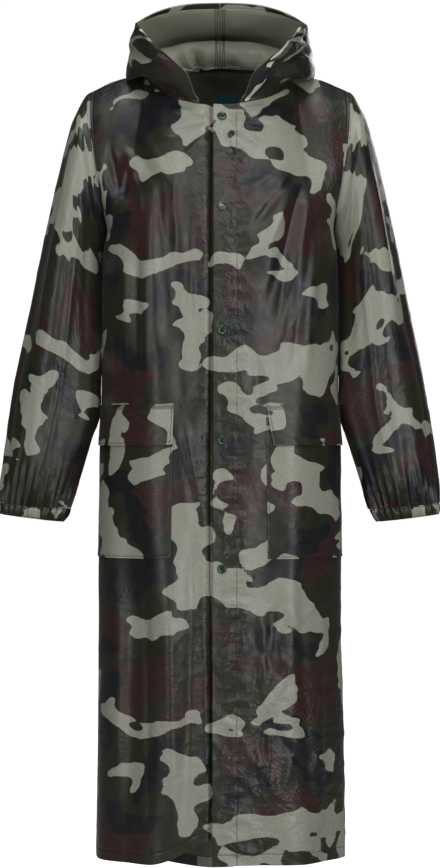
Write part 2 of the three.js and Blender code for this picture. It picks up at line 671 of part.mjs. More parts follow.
// Where a panel's outside has this x and height: the point, and the way in.
function onPanel({ grid, ways }, x, z) {
  for (const i of range(grid.length - 1)) {
    for (const j of range(grid[0].length - 1)) {
      const [a, b] = [grid[i][j], grid[i][j + 1]];
      const s = (x - a.x) / (b.x - a.x);
      if (s < 0 || s > 1) continue;
      const low = a.clone().lerp(b, s);
      const high = grid[i + 1][j].clone().lerp(grid[i + 1][j + 1], s);
      const t = (z - low.z) / (high.z - low.z);
      if (t < 0 || t > 1) continue;
      return { point: low.lerp(high, t), way: ways[i][j].clone().lerp(ways[i + 1][j + 1], 0.5).normalize() };
    }
  }
  throw new Error(`no panel at ${x}, ${z}`);
}

// A snap's cap, square to the left front and just off it.
function snapCap(level) {
  const { radius, height, sides, x } = SNAP;
  const profile = [
    [0, 0],
    [radius, 0],
    [radius, height * 0.45],
    [radius * 0.82, height * 0.85],
    [radius * 0.45, height * 0.75],
    [0, height * 0.7],
  ].map(([r, h]) => new THREE.Vector2(r, h));
  const geometry = new THREE.LatheGeometry(profile, sides);
  const { point, way } = onPanel(FRONTS[LEFT], x, level);
  geometry.applyQuaternion(new THREE.Quaternion().setFromUnitVectors(vector(0, -1, 0), way));
  geometry.translate(...point.addScaledVector(way, -SEAM).toArray());
  return geometry;
}

// A plain label hung from inside the back of the neck.
function labelWall() {
  const rows = 3;
  const layer = (extra) =>
    range(rows + 1).map((i) =>
      range(LABEL.columns + 1).map((j) => {
        const x = LABEL.x + LABEL.width * (j / LABEL.columns - 0.5);
        const z = lerp(LABEL.bottom, LABEL.top, i / rows);
        const { point, way } = onPanel(BACK, x, z);
        return point.addScaledVector(way, WALL + LABEL.stand + extra);
      }),
    );
  return wallBetween(layer(0), layer(TRIM), false);
}

// ---------------------------------------------------------------- the coat

const finish = {
  print: { roughness: 0.45, metalness: 0, color: COLOUR.print },
  dark: { roughness: 0.5, metalness: 0, color: COLOUR.dark },
  snap: { roughness: 0.3, metalness: 0, color: COLOUR.snap },
  label: { roughness: 0.7, metalness: 0, color: COLOUR.label },
};

const coat = new THREE.Group();

function add(name, geometry, look) {
  const mesh = new THREE.Mesh(geometry, new THREE.MeshStandardMaterial(finish[look]));
  mesh.name = name;
  coat.add(mesh);
}

add("back", panelWall(BACK), "print");
for (const [name, side] of [["left", LEFT], ["right", RIGHT]]) {
  add(`front_${name}`, panelWall(FRONTS[side]), "print");
  add(`sleeve_${name}`, sleeveWall(side), "print");
  add(`cuff_${name}`, cuffWall(side), "dark");
  add(`hood_${name}`, panelWall(HOODS[side]), "print");
  add(`hood_hem_${name}`, hoodHemWall(side), "dark");
  add(`pocket_${name}`, overlayWall(side, POCKET), "print");
  add(`flap_${name}`, overlayWall(side, FLAP), "print");
}
SNAP.levels.forEach((level, i) => add(`snap_${i + 1}`, snapCap(level), "snap"));
add("neck_label", labelWall(), "label");

export default coat;
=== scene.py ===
"""A long hooded raincoat in printed coated nylon, snapped shut and filled out, with nobody in it.

The shapes are worked out in millimetres in the frame of the CAD: +Z up, -Y the front, +X the wearer's
left, origin between the shoulders. Every cloth piece is a thin shell on the outside of its CAD solid.
"""
import math

import bpy
import numpy as np
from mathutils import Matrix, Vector


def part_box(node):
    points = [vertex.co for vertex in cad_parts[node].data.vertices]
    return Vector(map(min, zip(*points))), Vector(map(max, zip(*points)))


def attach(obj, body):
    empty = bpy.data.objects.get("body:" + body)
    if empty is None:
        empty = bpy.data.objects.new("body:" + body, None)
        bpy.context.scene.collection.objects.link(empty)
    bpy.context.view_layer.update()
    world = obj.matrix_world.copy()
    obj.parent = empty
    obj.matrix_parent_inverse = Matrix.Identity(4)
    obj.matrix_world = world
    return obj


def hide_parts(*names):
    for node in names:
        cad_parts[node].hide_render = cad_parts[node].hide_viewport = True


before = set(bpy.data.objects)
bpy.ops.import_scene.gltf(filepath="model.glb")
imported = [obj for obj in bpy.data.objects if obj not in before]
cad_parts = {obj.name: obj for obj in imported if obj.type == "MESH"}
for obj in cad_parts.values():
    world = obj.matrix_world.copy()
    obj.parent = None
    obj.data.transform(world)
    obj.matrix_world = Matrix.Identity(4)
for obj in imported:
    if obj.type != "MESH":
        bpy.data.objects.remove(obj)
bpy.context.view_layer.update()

MM = 0.001
LEFT, RIGHT = 1, -1
NAMES = {LEFT: "left", RIGHT: "right"}
CLOTH = 0.7  # thickness of the shells
SEAM = 0.4
SEAM_CLOSE = 0.25  # tucked edges lean this far over, so no light shows between two pieces
TUCK = 4  # how far a seam's cloth turns in
SEWN = ("tuck", TUCK)
HEM_TURN, FACING_TURN = 17, 20  # how far the bottom hem and the closing edge turn in
HEM_DEPTH = 2.0  # how deep a turned-in hem lies
SEAM_ROW, FACING_ROW = 5, 26  # stitching beside a seam, and where the left front's facing is sewn
CELL, BACK_CELL, OVERLAY_CELL = 4.6, 5.4, 3.4  # size of a mesh square

# ---------------------------------------------------------------- shape, as in the CAD

ARMPIT_Z, HEM_FRONT_Z, HEM_BACK_DROP, HEM_CORNER_LIFT = -235, -1226, 50, 42
ROUNDNESS = 2.6
BODY = {
    "z": [-1280, -1000, -700, -500, -330, -270, -235],
    "half": [198.5, 194, 191, 189, 188, 186, 180],
    "front": [166, 160, 152, 146, 142, 140, 138],
    "back": [170, 165, 158, 152, 148, 147, 146],
}
BODY_FOLDS = [  # angle, width, depth, top
    (-66, 8, 4, -420), (-50, 7, -5, -300), (-36, 8, 7, -260), (-17, 6, -7, -600),
    (24, 7, -5, -380), (40, 7, 6, -280), (57, 7, -5, -330), (74, 7, 5, -560),
    (104, 8, -6, -420), (124, 9, 8, -330), (146, 8, -7, -520), (166, 9, 7, -300),
    (-170, 8, -7, -380), (-149, 9, 8, -460), (-127, 8, -7, -300), (-106, 8, 6, -520),
]
FOLD_GROWTH = 700
FRONT_CREASES = [  # x1, z1, x2, z2, width, depth
    (-172, -110, -150, -205, 13, -6), (-150, -205, -122, -130, 13, -5), (-140, -100, -134, -170, 12, 4),
    (-112, -170, -104, -470, 15, 5), (-84, -210, -80, -440, 13, -5), (118, -120, 62, -330, 15, 5),
    (124, -130, 94, -400, 14, -6), (140, -140, 130, -450, 14, 5), (158, -190, 156, -420, 12, -4),
]
BACK_CREASES = [
    (-150, -110, -80, -330, 16, 6), (-158, -150, -120, -420, 14, -6), (146, -120, 96, -360, 16, -6),
    (156, -140, 132, -400, 14, 6), (-60, 0, -30, -260, 18, 4), (58, -10, 40, -300, 18, -5),
]
CREASE_EDGE = 14
SHOULDER = {"tipX": 205, "y": 5, "tipZ": -10, "arch": 3.5}
NECK = {"half": 118, "y": 8, "z": 19, "front": 104, "frontDrop": 60, "back": 72, "backRise": 16}
LAP = {LEFT: 10, RIGHT: 26}
FRONT_REACH = 140  # from the body's middle to its front, where the lap is measured
LAP_DEPTH = 2.8
LAP_RAMP = (14, 5.5)
NECK_FOOT, BACK_FOOT = 55, 54
NECK_SPREAD = 0.715
FRONT_YOKE = {
    "column": [90, 55, 16, 0], "riseY": [-112, -6, 6, 6], "riseZ": [24, 88, 76, 76],
    "fallX": [9, 0, 0, 0], "fallY": [-74, -52, -20, -20], "fallZ": [-66, -34, -52, -52],
}
BACK_YOKE = {
    "column": [0, 54, 90], "riseY": [0, 4, 116], "riseZ": [90, 88, 24],
    "fallX": [0, 0, 9], "fallY": [44, 60, 76], "fallZ": [-34, -18, -66],
}
SLEEVE = {
    "outX": [233, 252, 270, 289, 307, 325, 337.5, 346, 347.5],
    "outZ": [-52, -118, -196, -284, -376, -466, -550, -626, -667],
    "inX": [192, 193, 193, 193, 193.5, 195, 208, 226, 239],
    "inZ": [-262, -312, -366, -424, -480, -532, -584, -640, -676],
    "depth": [76, 80, 80, 77, 72, 66, 60, 53, 46],
    "y": [4, 2, -2, -8, -14, -20, -26, -31, -34],
}
CUFF_LENGTH, CUFF_ROW = 20, 2  # the cuff's flat length, and how far its stitching is from its edges
CUFF = {"outX": 346.5, "outZ": -685, "inX": 250, "inZ": -697, "depth": 44, "swell": 2.5}
SLEEVE_FOLDS = [  # turn, width, depth, from, to
    (0.08, 0.05, -6, 0.2, 0.75), (0.17, 0.05, 5, 0.1, 0.6), (0.3, 0.05, -5, 0.15, 0.7),
    (0.66, 0.06, -6, 0.15, 0.8), (0.78, 0.06, 6, 0.2, 0.9), (0.9, 0.05, -5, 0.1, 0.7),
]
ARMHOLE_PULL = 34
HOOD = {  # sideZ starts 3 to 8 lower than in the CAD, so that no gap shows at the shoulder
    "half": [131, 147.5, 151, 148.5, 147.5, 146, 144, 141.5, 139, 136, 133, 130],
    "side": [6, 5, 4, 6, 8, 8, 5, -5, -25, -58, -90, -106],
    "back": [66, 59, 68, 98, 122, 152, 171, 142, 70, -20, -92, -112],
    "front": [-98, -106, -112, -116, -118, -119, -119, -118, -116, -114, -112, -108],
    "edge": [41, 45, 51, 60, 70, 80, 90, 99, 107, 114, 121, 126],
    "backZ": [50, 66, 79, 67, 36, 28, 55, 83, 92, 98, 104, 116],
    "sideZ": [15, 9.5, 24, 38, 47, 55, 62, 70, 78, 84, 86, 86],
    "frontZ": [-24, -10, 4, 14, 22, 31, 40, 49, 57, 64, 71, 77],
}
HOOD_START, HOOD_LIP, HOOD_ARCH = 14, 5, 2.9
HOOD_HEM = {"up": 1 / 12, "over": 1 / 22, "lift": 1.7, "run": 760, "width": 18}
FRONT_COLUMNS = [90, 84, 77, 70, 62, 55, 48, 41, 34, 27, 19.5, 14, 8.5, 4]
SNAP_X, SNAP_LEVELS = 3, [-60, -204, -397, -568, -767]

# ---------------------------------------------------------------- small maths


def lerp(a, b, t):
    return a + (b - a) * t


def ease(t):
    t = np.clip(t, 0, 1)
    return t * t * (3 - 2 * t)


def bell(offset, width):
    return np.exp(-((offset / width) ** 2))


def vector(x, y, z):
    return np.stack(np.broadcast_arrays(x, y, z), axis=-1).astype(float)


def unit(v):
    return v / np.maximum(np.linalg.norm(v, axis=-1, keepdims=True), 1e-12)


def spline(a, b, c, d, t):
    slope, end = (c - a) / 2, (d - b) / 2
    square, cube = t * t, t * t * t
    first = b * (2 * cube - 3 * square + 1) + slope * (cube - 2 * square + t)
    return first + c * (3 * square - 2 * cube) + end * (cube - square)


def read(table, key, column, value):
    keys, values = np.array(table[key], float), np.array(table[column], float)
    sign = 1 if keys[-1] > keys[0] else -1
    value = sign * np.asarray(value, float)
    keys = sign * keys
    last = len(keys) - 1
    i = np.clip(np.searchsorted(keys, value, side="right") - 1, 0, last - 1)
    t = np.clip((value - keys[i]) / (keys[i + 1] - keys[i]), 0, 1)
    at = lambda row: values[np.clip(row, 0, last)]
    return spline(at(i - 1), at(i), at(i + 1), at(i + 2), t)


def rows_of(table):
    return [dict(zip(table, row)) for row in zip(*table.values())]


def along(points, share, start=None):
    """points: (N, J, 3), share: (I,); gives (I, J, 3)."""
    last = len(points) - 1
    place = np.clip(np.asarray(share, float), 0, 1) * last
    i = np.minimum(np.floor(place).astype(int), last - 1)
    lead = points[0] if start is None else points[1] - 2 * start
    padded = np.concatenate([lead[None], points, points[-1:]])
    t = (place - i)[:, None, None]
    return spline(padded[i], padded[i + 1], padded[i + 2], padded[np.minimum(i + 3, last + 2)], t)


class Noise:
    """Smooth seeded value noise on a wrapping lattice, from -1 to 1."""

    SIZE = 64

    def __init__(self, seed):
        self.table = np.random.default_rng(seed).uniform(-1, 1, (self.SIZE, self.SIZE))

    def __call__(self, x, y):
        x, y = np.broadcast_arrays(np.asarray(x, float), np.asarray(y, float))
        i, j = np.floor(x).astype(int), np.floor(y).astype(int)
        s, t = x - i, y - j
        s, t = s * s * s * (s * (6 * s - 15) + 10), t * t * t * (t * (6 * t - 15) + 10)
        at = lambda a, b: self.table[a % self.SIZE, b % self.SIZE]
        low = lerp(at(i, j), at(i + 1, j), s)
        return lerp(low, lerp(at(i, j + 1), at(i + 1, j + 1), s), t)


def run_along(grid, axis):
    """Length along the cloth from the first row or column, at every point of a grid."""
    steps = np.linalg.norm(np.diff(grid, axis=axis), axis=-1)
    start = np.zeros_like(np.take(steps, [0], axis=axis))
    return np.concatenate([start, np.cumsum(steps, axis=axis)], axis=axis)


def normals_of(grid, closed=False):
    if closed:
        across = np.roll(grid, -1, axis=1) - np.roll(grid, 1, axis=1)
    else:
        across = np.gradient(grid, axis=1)
    return unit(np.cross(across, np.gradient(grid, axis=0)))


# ---------------------------------------------------------------- body panels


def body_fold(angle, z):
    turn = np.degrees(angle)
    total = 0.0
    for at, width, depth, top in BODY_FOLDS:
        offset = (turn - at + 180) % 360 - 180
        total = total + depth * bell(offset, width) * ease((top - z) / FOLD_GROWTH)
    return total


def body_point(angle, z):
    sine, cosine = np.sin(angle), np.cos(angle)
    reach = np.where(cosine > 0, read(BODY, "z", "front", z), read(BODY, "z", "back", z))
    half = read(BODY, "z", "half", z)
    total = np.abs(sine / half) ** ROUNDNESS + np.abs(cosine / reach) ** ROUNDNESS
    radius = total ** (-1 / ROUNDNESS) + body_fold(angle, z)
    return vector(radius * sine, -radius * cosine, z)


def neck_point(side, degrees):
    sine, cosine = np.sin(np.radians(degrees)), np.cos(np.radians(degrees))
    ahead, behind = np.maximum(cosine, 0), np.maximum(-cosine, 0)
    z = NECK["z"] - NECK["frontDrop"] * ahead + NECK["backRise"] * behind**1.5
    return vector(side * NECK["half"] * sine, NECK["y"] - NECK["front"] * ahead + NECK["back"] * behind, z)


def shoulder_point(side, share, seam_side):
    share = np.clip(share, 0, 1)
    x = lerp(SHOULDER["tipX"], NECK["half"], share)
    y = lerp(SHOULDER["y"], NECK["y"], share) + seam_side * SEAM / 2
    z = lerp(SHOULDER["tipZ"], NECK["z"], share) + SHOULDER["arch"] * np.sin(np.pi * share)
    return vector(side * x, y, z)


def yoke_column(foot, head, side, yoke, column, share):
    pull = lambda name: read(yoke, "column", name, column)
    rise = foot + vector(0, pull("riseY"), pull("riseZ"))
    fall = head + vector(side * pull("fallX"), pull("fallY"), pull("fallZ"))
    t = share[..., None]
    s = 1 - t
    return foot * s**3 + rise * (3 * s * s * t) + fall * (3 * s * t * t) + head * t**3


SEAM_ANGLE = SEAM / 2 / 180


def foot_angle(column):
    return np.sign(column) * np.minimum(np.radians(np.abs(column)), np.pi / 2 - SEAM_ANGLE)


def neck_degrees(column):
    share = column / NECK_FOOT
    return 90 * share * (NECK_SPREAD + (1 - NECK_SPREAD) * share * share)


def panel_plain(side, angle, hem_z, column, v, neck, neck_foot, yoke, seam_side):
    """A panel's plain form: on the body up to the armpit, then over the yoke to the neck or the shoulder."""
    body = body_point(angle, lerp(ARMPIT_Z, hem_z, np.clip(-v, 0, 1)))
    neck = neck + vector(0, seam_side * column / neck_foot * SEAM / 2, 0)
    shoulder = shoulder_point(side, (90 - column) / (90 - neck_foot), seam_side)
    head = np.where((column > neck_foot)[..., None], shoulder, neck)
    foot = body_point(angle, np.full_like(angle, ARMPIT_Z))
    over = yoke_column(foot, head, side, yoke, np.abs(column), np.clip(v, 0, 1))
    return np.where((v <= 0)[..., None], body, over)


def front_plain(side, column, v):
    hem_z = HEM_FRONT_Z + (HEM_CORNER_LIFT * ease((36 - column) / 36) if side == RIGHT else 0)
    neck = neck_point(side, neck_degrees(column))
    return panel_plain(side, side * foot_angle(column), hem_z, column, v, neck, NECK_FOOT, FRONT_YOKE, -1)


def back_hem(column):
    return HEM_FRONT_Z - HEM_BACK_DROP * ease(1 - np.abs(column) / 90)


def back_plain(column, v):
    out, side = np.abs(column), np.where(column < 0, RIGHT, LEFT)
    neck = neck_point(side, lerp(180, 90, np.minimum(out / BACK_FOOT, 1)))
    angle = np.pi - foot_angle(column)
    return panel_plain(side, angle, back_hem(column), out, v, neck, BACK_FOOT, BACK_YOKE, 1)


def creases(lines, x, z):
    """How far cloth stands out because of creases from one point to another."""
    total = np.zeros(np.broadcast(x, z).shape)
    for x1, z1, x2, z2, width, depth in lines:
        length = math.hypot(x2 - x1, z2 - z1)
        on = ((x - x1) * (x2 - x1) + (z - z1) * (z2 - z1)) / length / length
        off = ((x - x1) * (z2 - z1) - (z - z1) * (x2 - x1)) / length
        total += depth * bell(off, width) * ease(on / 0.3) * ease((1 - on) / 0.3)
    return total


# ---------------------------------------------------------------- fine wrinkles

SOFT, CRINKLE, PUCKER = Noise(11), Noise(23), Noise(37)

FINE_GAIN = 1.6
# Finer creases, on top of the CAD's: x1, z1, x2, z2, width, depth.
FRONT_FINE = [
    (-178, -90, -160, -190, 5, -2.6), (-160, -190, -138, -128, 5, -2.2), (-150, -110, -120, -215, 4, 1.6),
    (-165, -70, -96, -170, 7, -1.8), (-140, -60, -60, -190, 8, 1.6),
    (-96, -150, -92, -330, 6, -2.0), (-70, -120, -66, -300, 7, 1.8), (-46, -180, -48, -420, 6, -1.6),
    (-130, -240, -128, -470, 7, -2.2), (-118, -260, -112, -490, 5, 1.8), (-148, -250, -150, -500, 6, 1.8),
    (128, -140, 40, -250, 6, -2.4), (132, -150, 52, -300, 6, 2.2), (136, -160, 70, -370, 6, -2.4),
    (142, -170, 90, -430, 6, 2.0), (150, -170, 112, -480, 6, -2.2), (156, -200, 132, -500, 6, 1.8),
    (120, -120, 30, -190, 7, 1.6), (60, -90, 40, -180, 8, -1.4),
    (-150, -780, -156, -1180, 9, 2.6), (-120, -770, -110, -1200, 8, -2.6), (-84, -770, -70, -1190, 9, 2.4),
    (-40, -640, -48, -1120, 9, -2.8), (-24, -800, -20, -1190, 7, 2.2), (60, -780, 84, -1180, 9, 2.6),
    (92, -770, 60, -1100, 8, -2.4), (126, -780, 142, -1160, 9, -2.6), (160, -760, 152, -1190, 8, 2.4),
    (50, -880, 118, -960, 7, -2.4), (120, -900, 60, -1010, 6, 2.2), (70, -1000, 140, -1090, 6, -2.2),
    (44, -1040, 96, -1130, 6, 2.2), (130, -1010, 90, -1130, 6, 1.8), (100, -820, 150, -880, 6, 2.0),
    (-60, -520, -40, -640, 7, 2.2), (-62, -560, -30, -720, 6, -2.0), (56, -430, 62, -520, 7, -1.8),
    (-76, -640, -84, -1210, 20, 3.2), (-122, -700, -128, -1210, 17, -3.0), (-164, -660, -168, -1210, 13, 2.4),
    (84, -840, 78, -1210, 20, 2.6), (132, -700, 126, -1210, 15, -2.6), (-100, -200, -96, -560, 20, 2.0),
    (-56, -240, -58, -600, 16, -2.2), (110, -260, 104, -560, 18, -2.0),
    (4, -60, 78, -40, 4, 3.0), (6, -66, 92, -74, 4, -3.0), (6, -72, 70, -108, 4, 2.8),
    (4, -78, 44, -138, 4, -2.6), (-12, -60, -80, -46, 4, 2.6), (-12, -70, -88, -90, 4, -2.8),
    (-12, -78, -58, -126, 4, 2.4),
]
BACK_FINE = [
    (-168, -90, -120, -230, 7, -2.4), (-160, -120, -96, -290, 6, 2.0), (164, -90, 118, -240, 7, 2.2),
    (158, -130, 100, -300, 6, -2.2), (-20, -10, -14, -240, 9, -1.8), (30, -20, 20, -260, 8, 1.8),
    (-90, -300, -86, -640, 8, 2.2), (-50, -420, -58, -820, 8, -2.4), (20, -380, 26, -760, 9, 2.2),
    (70, -330, 76, -700, 8, -2.2), (120, -420, 112, -860, 8, 2.2), (-130, -440, -138, -900, 8, -2.2),
    (-100, -760, -84, -1190, 9, 2.6), (-30, -820, -40, -1230, 9, -2.6), (40, -800, 52, -1220, 9, 2.6),
    (96, -780, 84, -1180, 8, -2.6), (146, -760, 154, -1170, 8, 2.4), (-160, -780, -152, -1180, 8, 2.2),
]


def crinkles(x, z, strength):
    """Small sharp-edged creases of coated nylon."""
    run, off = 0.8 * x + 0.6 * z, 0.8 * z - 0.6 * x
    fold = 1 - np.abs(CRINKLE(run / 34 + 3, off / 46))
    fine = 1 - np.abs(CRINKLE((run - off) / 18, (run + off) / 24 + 9))
    return strength * (1.3 * (fold**4 - 0.35) + 0.5 * (fine**3 - 0.35))


def puckers(run, off, reach, depth, length=8.0):
    """Short ripples across a seam: run along it, off from it."""
    wave = PUCKER(run / length, off / 60 + 5) + 0.6 * PUCKER(run / length * 2.3, off / 40 + 20)
    return depth * wave * bell(off, reach)


def panel_stand(column, x, z, broad, fine, shifts, small, hem_z):
    """How far a panel's cloth stands out from the plain form, but for its closing edge."""
    first, second, third = shifts
    waves = 2.0 * SOFT(x / 55 + first, z / 150) + 0.9 * SOFT(x / 26 + second, z / 60)
    waves = waves + 2.6 * SOFT(x / 42 + third, z / 430)
    fade = ease((90 - np.abs(column)) / CREASE_EDGE)
    stand = fade * (creases(broad, x, z) + FINE_GAIN * creases(fine, x, z) + waves + small)
    return stand + puckers(x, z - hem_z - HEM_TURN - 1, 14, 0.8, 11)


def front_stand(side, column, p):
    x, z = p[..., 0], p[..., 2]
    edge = -LAP[side] * side
    low = ease((-560 - z) / 300)
    crumpled = 0.3 + 0.9 * low * ease((x + 20) / 40) + 0.1 * low
    by_placket = bell(x - 16, 34) if side == LEFT else 0.4 * bell(x + 30, 30)
    small = crinkles(x, z, 0.9 * crumpled + 1.3 * by_placket * (0.5 + 0.5 * low))
    stand = panel_stand(column, x, z, FRONT_CREASES, FRONT_FINE, (0, 7, 11), small, HEM_FRONT_Z)
    stand = stand + puckers(z, x - edge, 9, 0.6, 12)
    if side == LEFT:  # the sewn facing, and the lap a little off the front beneath
        return stand + puckers(z, x - FACING_ROW, 13, 1.5, 9) + 2.2 * bell(x - edge, 8)
    # The front beneath sinks beside the lap, so the lap's edge throws a dark line.
    return stand - 4.0 * bell(x + 26, 17) * ease((-150 - z) / 120) - 7.0 * bell(x + 13, 5)


def back_stand(column, p):
    x, z = p[..., 0], p[..., 2]
    small = crinkles(x + 400, z, 0.5 + 0.3 * ease((-600 - z) / 300))
    return panel_stand(column, x, z, BACK_CREASES, BACK_FINE, (30, 37, 51), small, back_hem(column))


def front_surface(side, columns, v):
    """Outside of a front at columns (J) and v (I): points, the ways in and the plain form's points."""
    column, v = np.meshgrid(np.asarray(columns, float), np.asarray(v, float))
    plain = front_plain(side, column, v)
    start, end = LAP_RAMP
    under = LAP_DEPTH * ease((start - column) / (start - end)) if side == RIGHT else 0 * column
    grid = plain + normals_of(plain) * side * (under - front_stand(side, column, plain))[..., None]
    return grid, normals_of(grid) * side, plain


def back_surface(columns, v):
    column, v = np.meshgrid(columns, v)
    plain = back_plain(column, v)
    grid = plain - normals_of(plain) * back_stand(column, plain)[..., None]
    return grid, normals_of(grid), plain


# Girth measured round the body from the middle of the front, at a usual height.
_angles = np.radians(np.linspace(0, 180, 721))
_ring = body_point(_angles, np.full_like(_angles, -480.0))
_girth = np.concatenate([[0], np.cumsum(np.linalg.norm(np.diff(_ring, axis=0), axis=1))])


def girth_at(degrees):
    return np.sign(degrees) * np.interp(np.abs(degrees), np.degrees(_angles), _girth)


def print_place(side, column, v, plain):
    """Where points of a panel lie on the flat print: girth from the panel's middle, and height.

    Over the armpits the cloth lies flat on the slope of the chest or the back.
    """
    out = np.abs(column)
    level = np.argmin(np.abs(v[:, 0]))
    across = np.abs(plain[..., 0])
    wrap = girth_at(out) - across[level]
    girth = np.where(v <= 0, girth_at(out), across + wrap * (1 - ease(v)))
    girth = girth * np.sign(column) * side
    run = run_along(plain[..., 1:], 0)
    height = np.where(v <= 0, plain[..., 2], ARMPIT_Z + run - run[level])
    return girth, height


def even_columns(start, end, cell=CELL):
    """Columns in degrees, evenly apart round the body."""
    low, high = girth_at(start), girth_at(end)
    places = np.linspace(low, high, int(round(abs(high - low) / cell)) + 1)
    return np.sign(places) * np.interp(np.abs(places), _girth, np.degrees(_angles))


def rows(cell=CELL):
    """v from the hem at -1 up to the armpit at 0, and on to the top edge at 1."""
    below = np.linspace(-1, 0, int(round((ARMPIT_Z - HEM_FRONT_Z) / cell)) + 1)
    return np.concatenate([below, np.linspace(0, 1, int(300 / cell))[1:]])


# ---------------------------------------------------------------- the print

REPEAT = (590.0, 722.0)  # width and height of the printed repeat

# Patches of the print, laid out on the flat repeat.
PATCHES = {"light": [  # x, z, length, width, lean, bend
    (-80, -140, 120, 40, 10, 12), (-100, -270, 180, 32, 0, -16), (-50, -400, 130, 36, -65, 8),
    (-150, -370, 50, 26, -20, 4), (-20, -70, 120, 30, -10, 8), (100, -110, 190, 44, -15, 12),
    (170, -160, 70, 28, 80, 4), (80, -260, 70, 22, 60, 8), (110, -290, 50, 18, 0, 0),
    (20, -300, 60, 28, 0, 6), (170, -350, 50, 26, -15, 0), (100, -460, 200, 54, 0, 12),
    (60, -510, 110, 28, 5, -6), (160, -560, 36, 22, 0, 0), (-160, -520, 50, 24, 10, 0),
    (-110, -560, 70, 28, -30, 6), (-120, -670, 160, 44, -70, 20), (-160, -740, 60, 28, 0, 4),
    (-40, -740, 180, 38, -85, -12), (100, -660, 140, 46, -60, 26), (60, -740, 70, 34, 40, 0),
    (10, -660, 90, 18, 80, 4), (240, -220, 90, 34, 60, 10), (-240, -140, 80, 30, 70, 0),
    (250, -480, 100, 40, 80, 8), (-250, -420, 90, 36, 50, 8), (240, -680, 80, 34, -60, 0),
    (-240, -620, 70, 30, 40, 0), (280, -60, 100, 38, 20, 8), (-270, -220, 120, 38, -20, 12),
    (290, -360, 130, 42, 80, 12), (270, -550, 120, 40, -30, 12), (-280, -690, 110, 36, 15, 8),
    (210, -420, 60, 28, 60, 0),
], "navy": [
    (-120, -60, 110, 48, 20, 10), (-180, -280, 120, 50, 80, 12), (-90, -340, 130, 54, 30, -14),
    (-140, -440, 90, 44, -20, 8), (-60, -580, 90, 50, 50, 8), (-180, -660, 110, 46, 85, 0),
    (-80, -760, 90, 52, 30, 10), (90, -170, 130, 42, -10, 14), (120, -340, 160, 60, -60, 18),
    (30, -380, 70, 44, 30, 0), (40, -580, 90, 40, 50, 8), (160, -670, 110, 48, -75, 8),
    (80, -780, 100, 42, 10, -8), (250, -320, 120, 52, 70, 14), (-260, -520, 110, 48, -60, 10),
    (260, -620, 90, 46, 20, 0), (290, -150, 110, 50, -30, 10), (-230, -190, 100, 46, 30, 8),
    (290, -450, 100, 50, 20, 10), (-270, -760, 110, 50, 0, 8),
], "brown": [
    (-160, -150, 110, 60, 70, 10), (-130, -220, 110, 62, 10, -12), (-30, -260, 110, 48, 80, 8),
    (-140, -480, 110, 68, 30, 10), (-70, -650, 110, 46, 10, 8), (-180, -570, 60, 46, 0, 0),
    (40, -180, 110, 48, -40, 10), (140, -230, 110, 66, 20, -10), (40, -340, 90, 46, 0, 6),
    (100, -420, 100, 42, 0, 8), (110, -540, 110, 50, 0, -8), (40, -660, 100, 52, 40, 8),
    (150, -760, 80, 52, 20, 0), (240, -110, 110, 56, 50, 10), (-260, -300, 100, 56, -70, 8),
    (250, -760, 90, 54, -30, 0), (290, -260, 120, 60, 10, 10), (-240, -480, 90, 52, 20, 0),
    (230, -520, 100, 56, 60, 8), (-280, -610, 100, 56, 80, 8), (-250, -60, 90, 54, 30, 0),
]}


def print_waves(seed, count=26, longest=3.0, shortest=19.0, size=66.0):
    """Random ripples that repeat with the cloth, the short ones smaller and none steep enough to fold."""
    draw = np.random.default_rng(seed)
    reach = draw.uniform(longest, shortest, count)
    way = draw.uniform(0, 2 * math.pi, count)
    phase = draw.uniform(0, 2 * math.pi, count)
    across, up = np.round(reach * np.cos(way)), np.round(reach * np.sin(way))

    def waves(x, z):
        total = 0.0
        for k in range(count):
            turns = across[k] * x / REPEAT[0] + up[k] * z / REPEAT[1]
            total = total + size / reach[k] ** 1.5 * np.sin(2 * math.pi * turns + phase[k])
        return total

    return waves


PRINT_SIDEWAYS, PRINT_UP = print_waves(41), print_waves(42)
NO_STITCH = 50.0
# Where each piece is cut from the print: how far along the repeat, and up it.
CUT_FROM = {
    "back": {LEFT: (REPEAT[0] / 2, 210)}, "front": {LEFT: (0, 0), RIGHT: (0, 0)},
    "sleeve": {LEFT: (-10, -455), RIGHT: (30, -590)}, "hood": {LEFT: (180, -480), RIGHT: (240, -220)},
    "hood_hem": {LEFT: (200, -500), RIGHT: (-40, -260)}, "pocket": {LEFT: (120, 110), RIGHT: (-140, 190)},
    "flap": {LEFT: (-110, 150), RIGHT: (170, -90)}, "cuff": {LEFT: (-100, -240), RIGHT: (-10, -240)},
}


def depth_in(patches, x, z, melt=4.0, far=-60.0):
    """How far inside bent, tapered patches of the repeat points lie, in millimetres."""
    width, height = REPEAT
    total = np.zeros(np.broadcast(x, z).shape)
    for px, pz, length, broad, lean, bend in patches:
        dx = (x - px + width / 2) % width - width / 2
        dz = (z - pz + height / 2) % height - height / 2
        c, s = math.cos(math.radians(lean)), math.sin(math.radians(lean))
        run, off = dx * c + dz * s, dz * c - dx * s
        share = np.clip(2 * run / length, -1, 1)
        core = max(length - broad, 0) / 2
        off = off - bend * (1 - share**2)
        away = np.hypot(run - np.clip(run, -core, core), off)
        depth = broad / 2 * (1 - 0.3 * share**2) - away
        total += np.exp(np.maximum(depth, far) / melt)
    return melt * np.log(total)


def stitching(*lines):
    """One signed distance to several rows of stitching, in millimetres, zero on each row."""
    total = lines[0]
    for line in lines[1:]:
        total = total * line / (np.abs(total) + np.abs(line) + 1e-6)
    return total


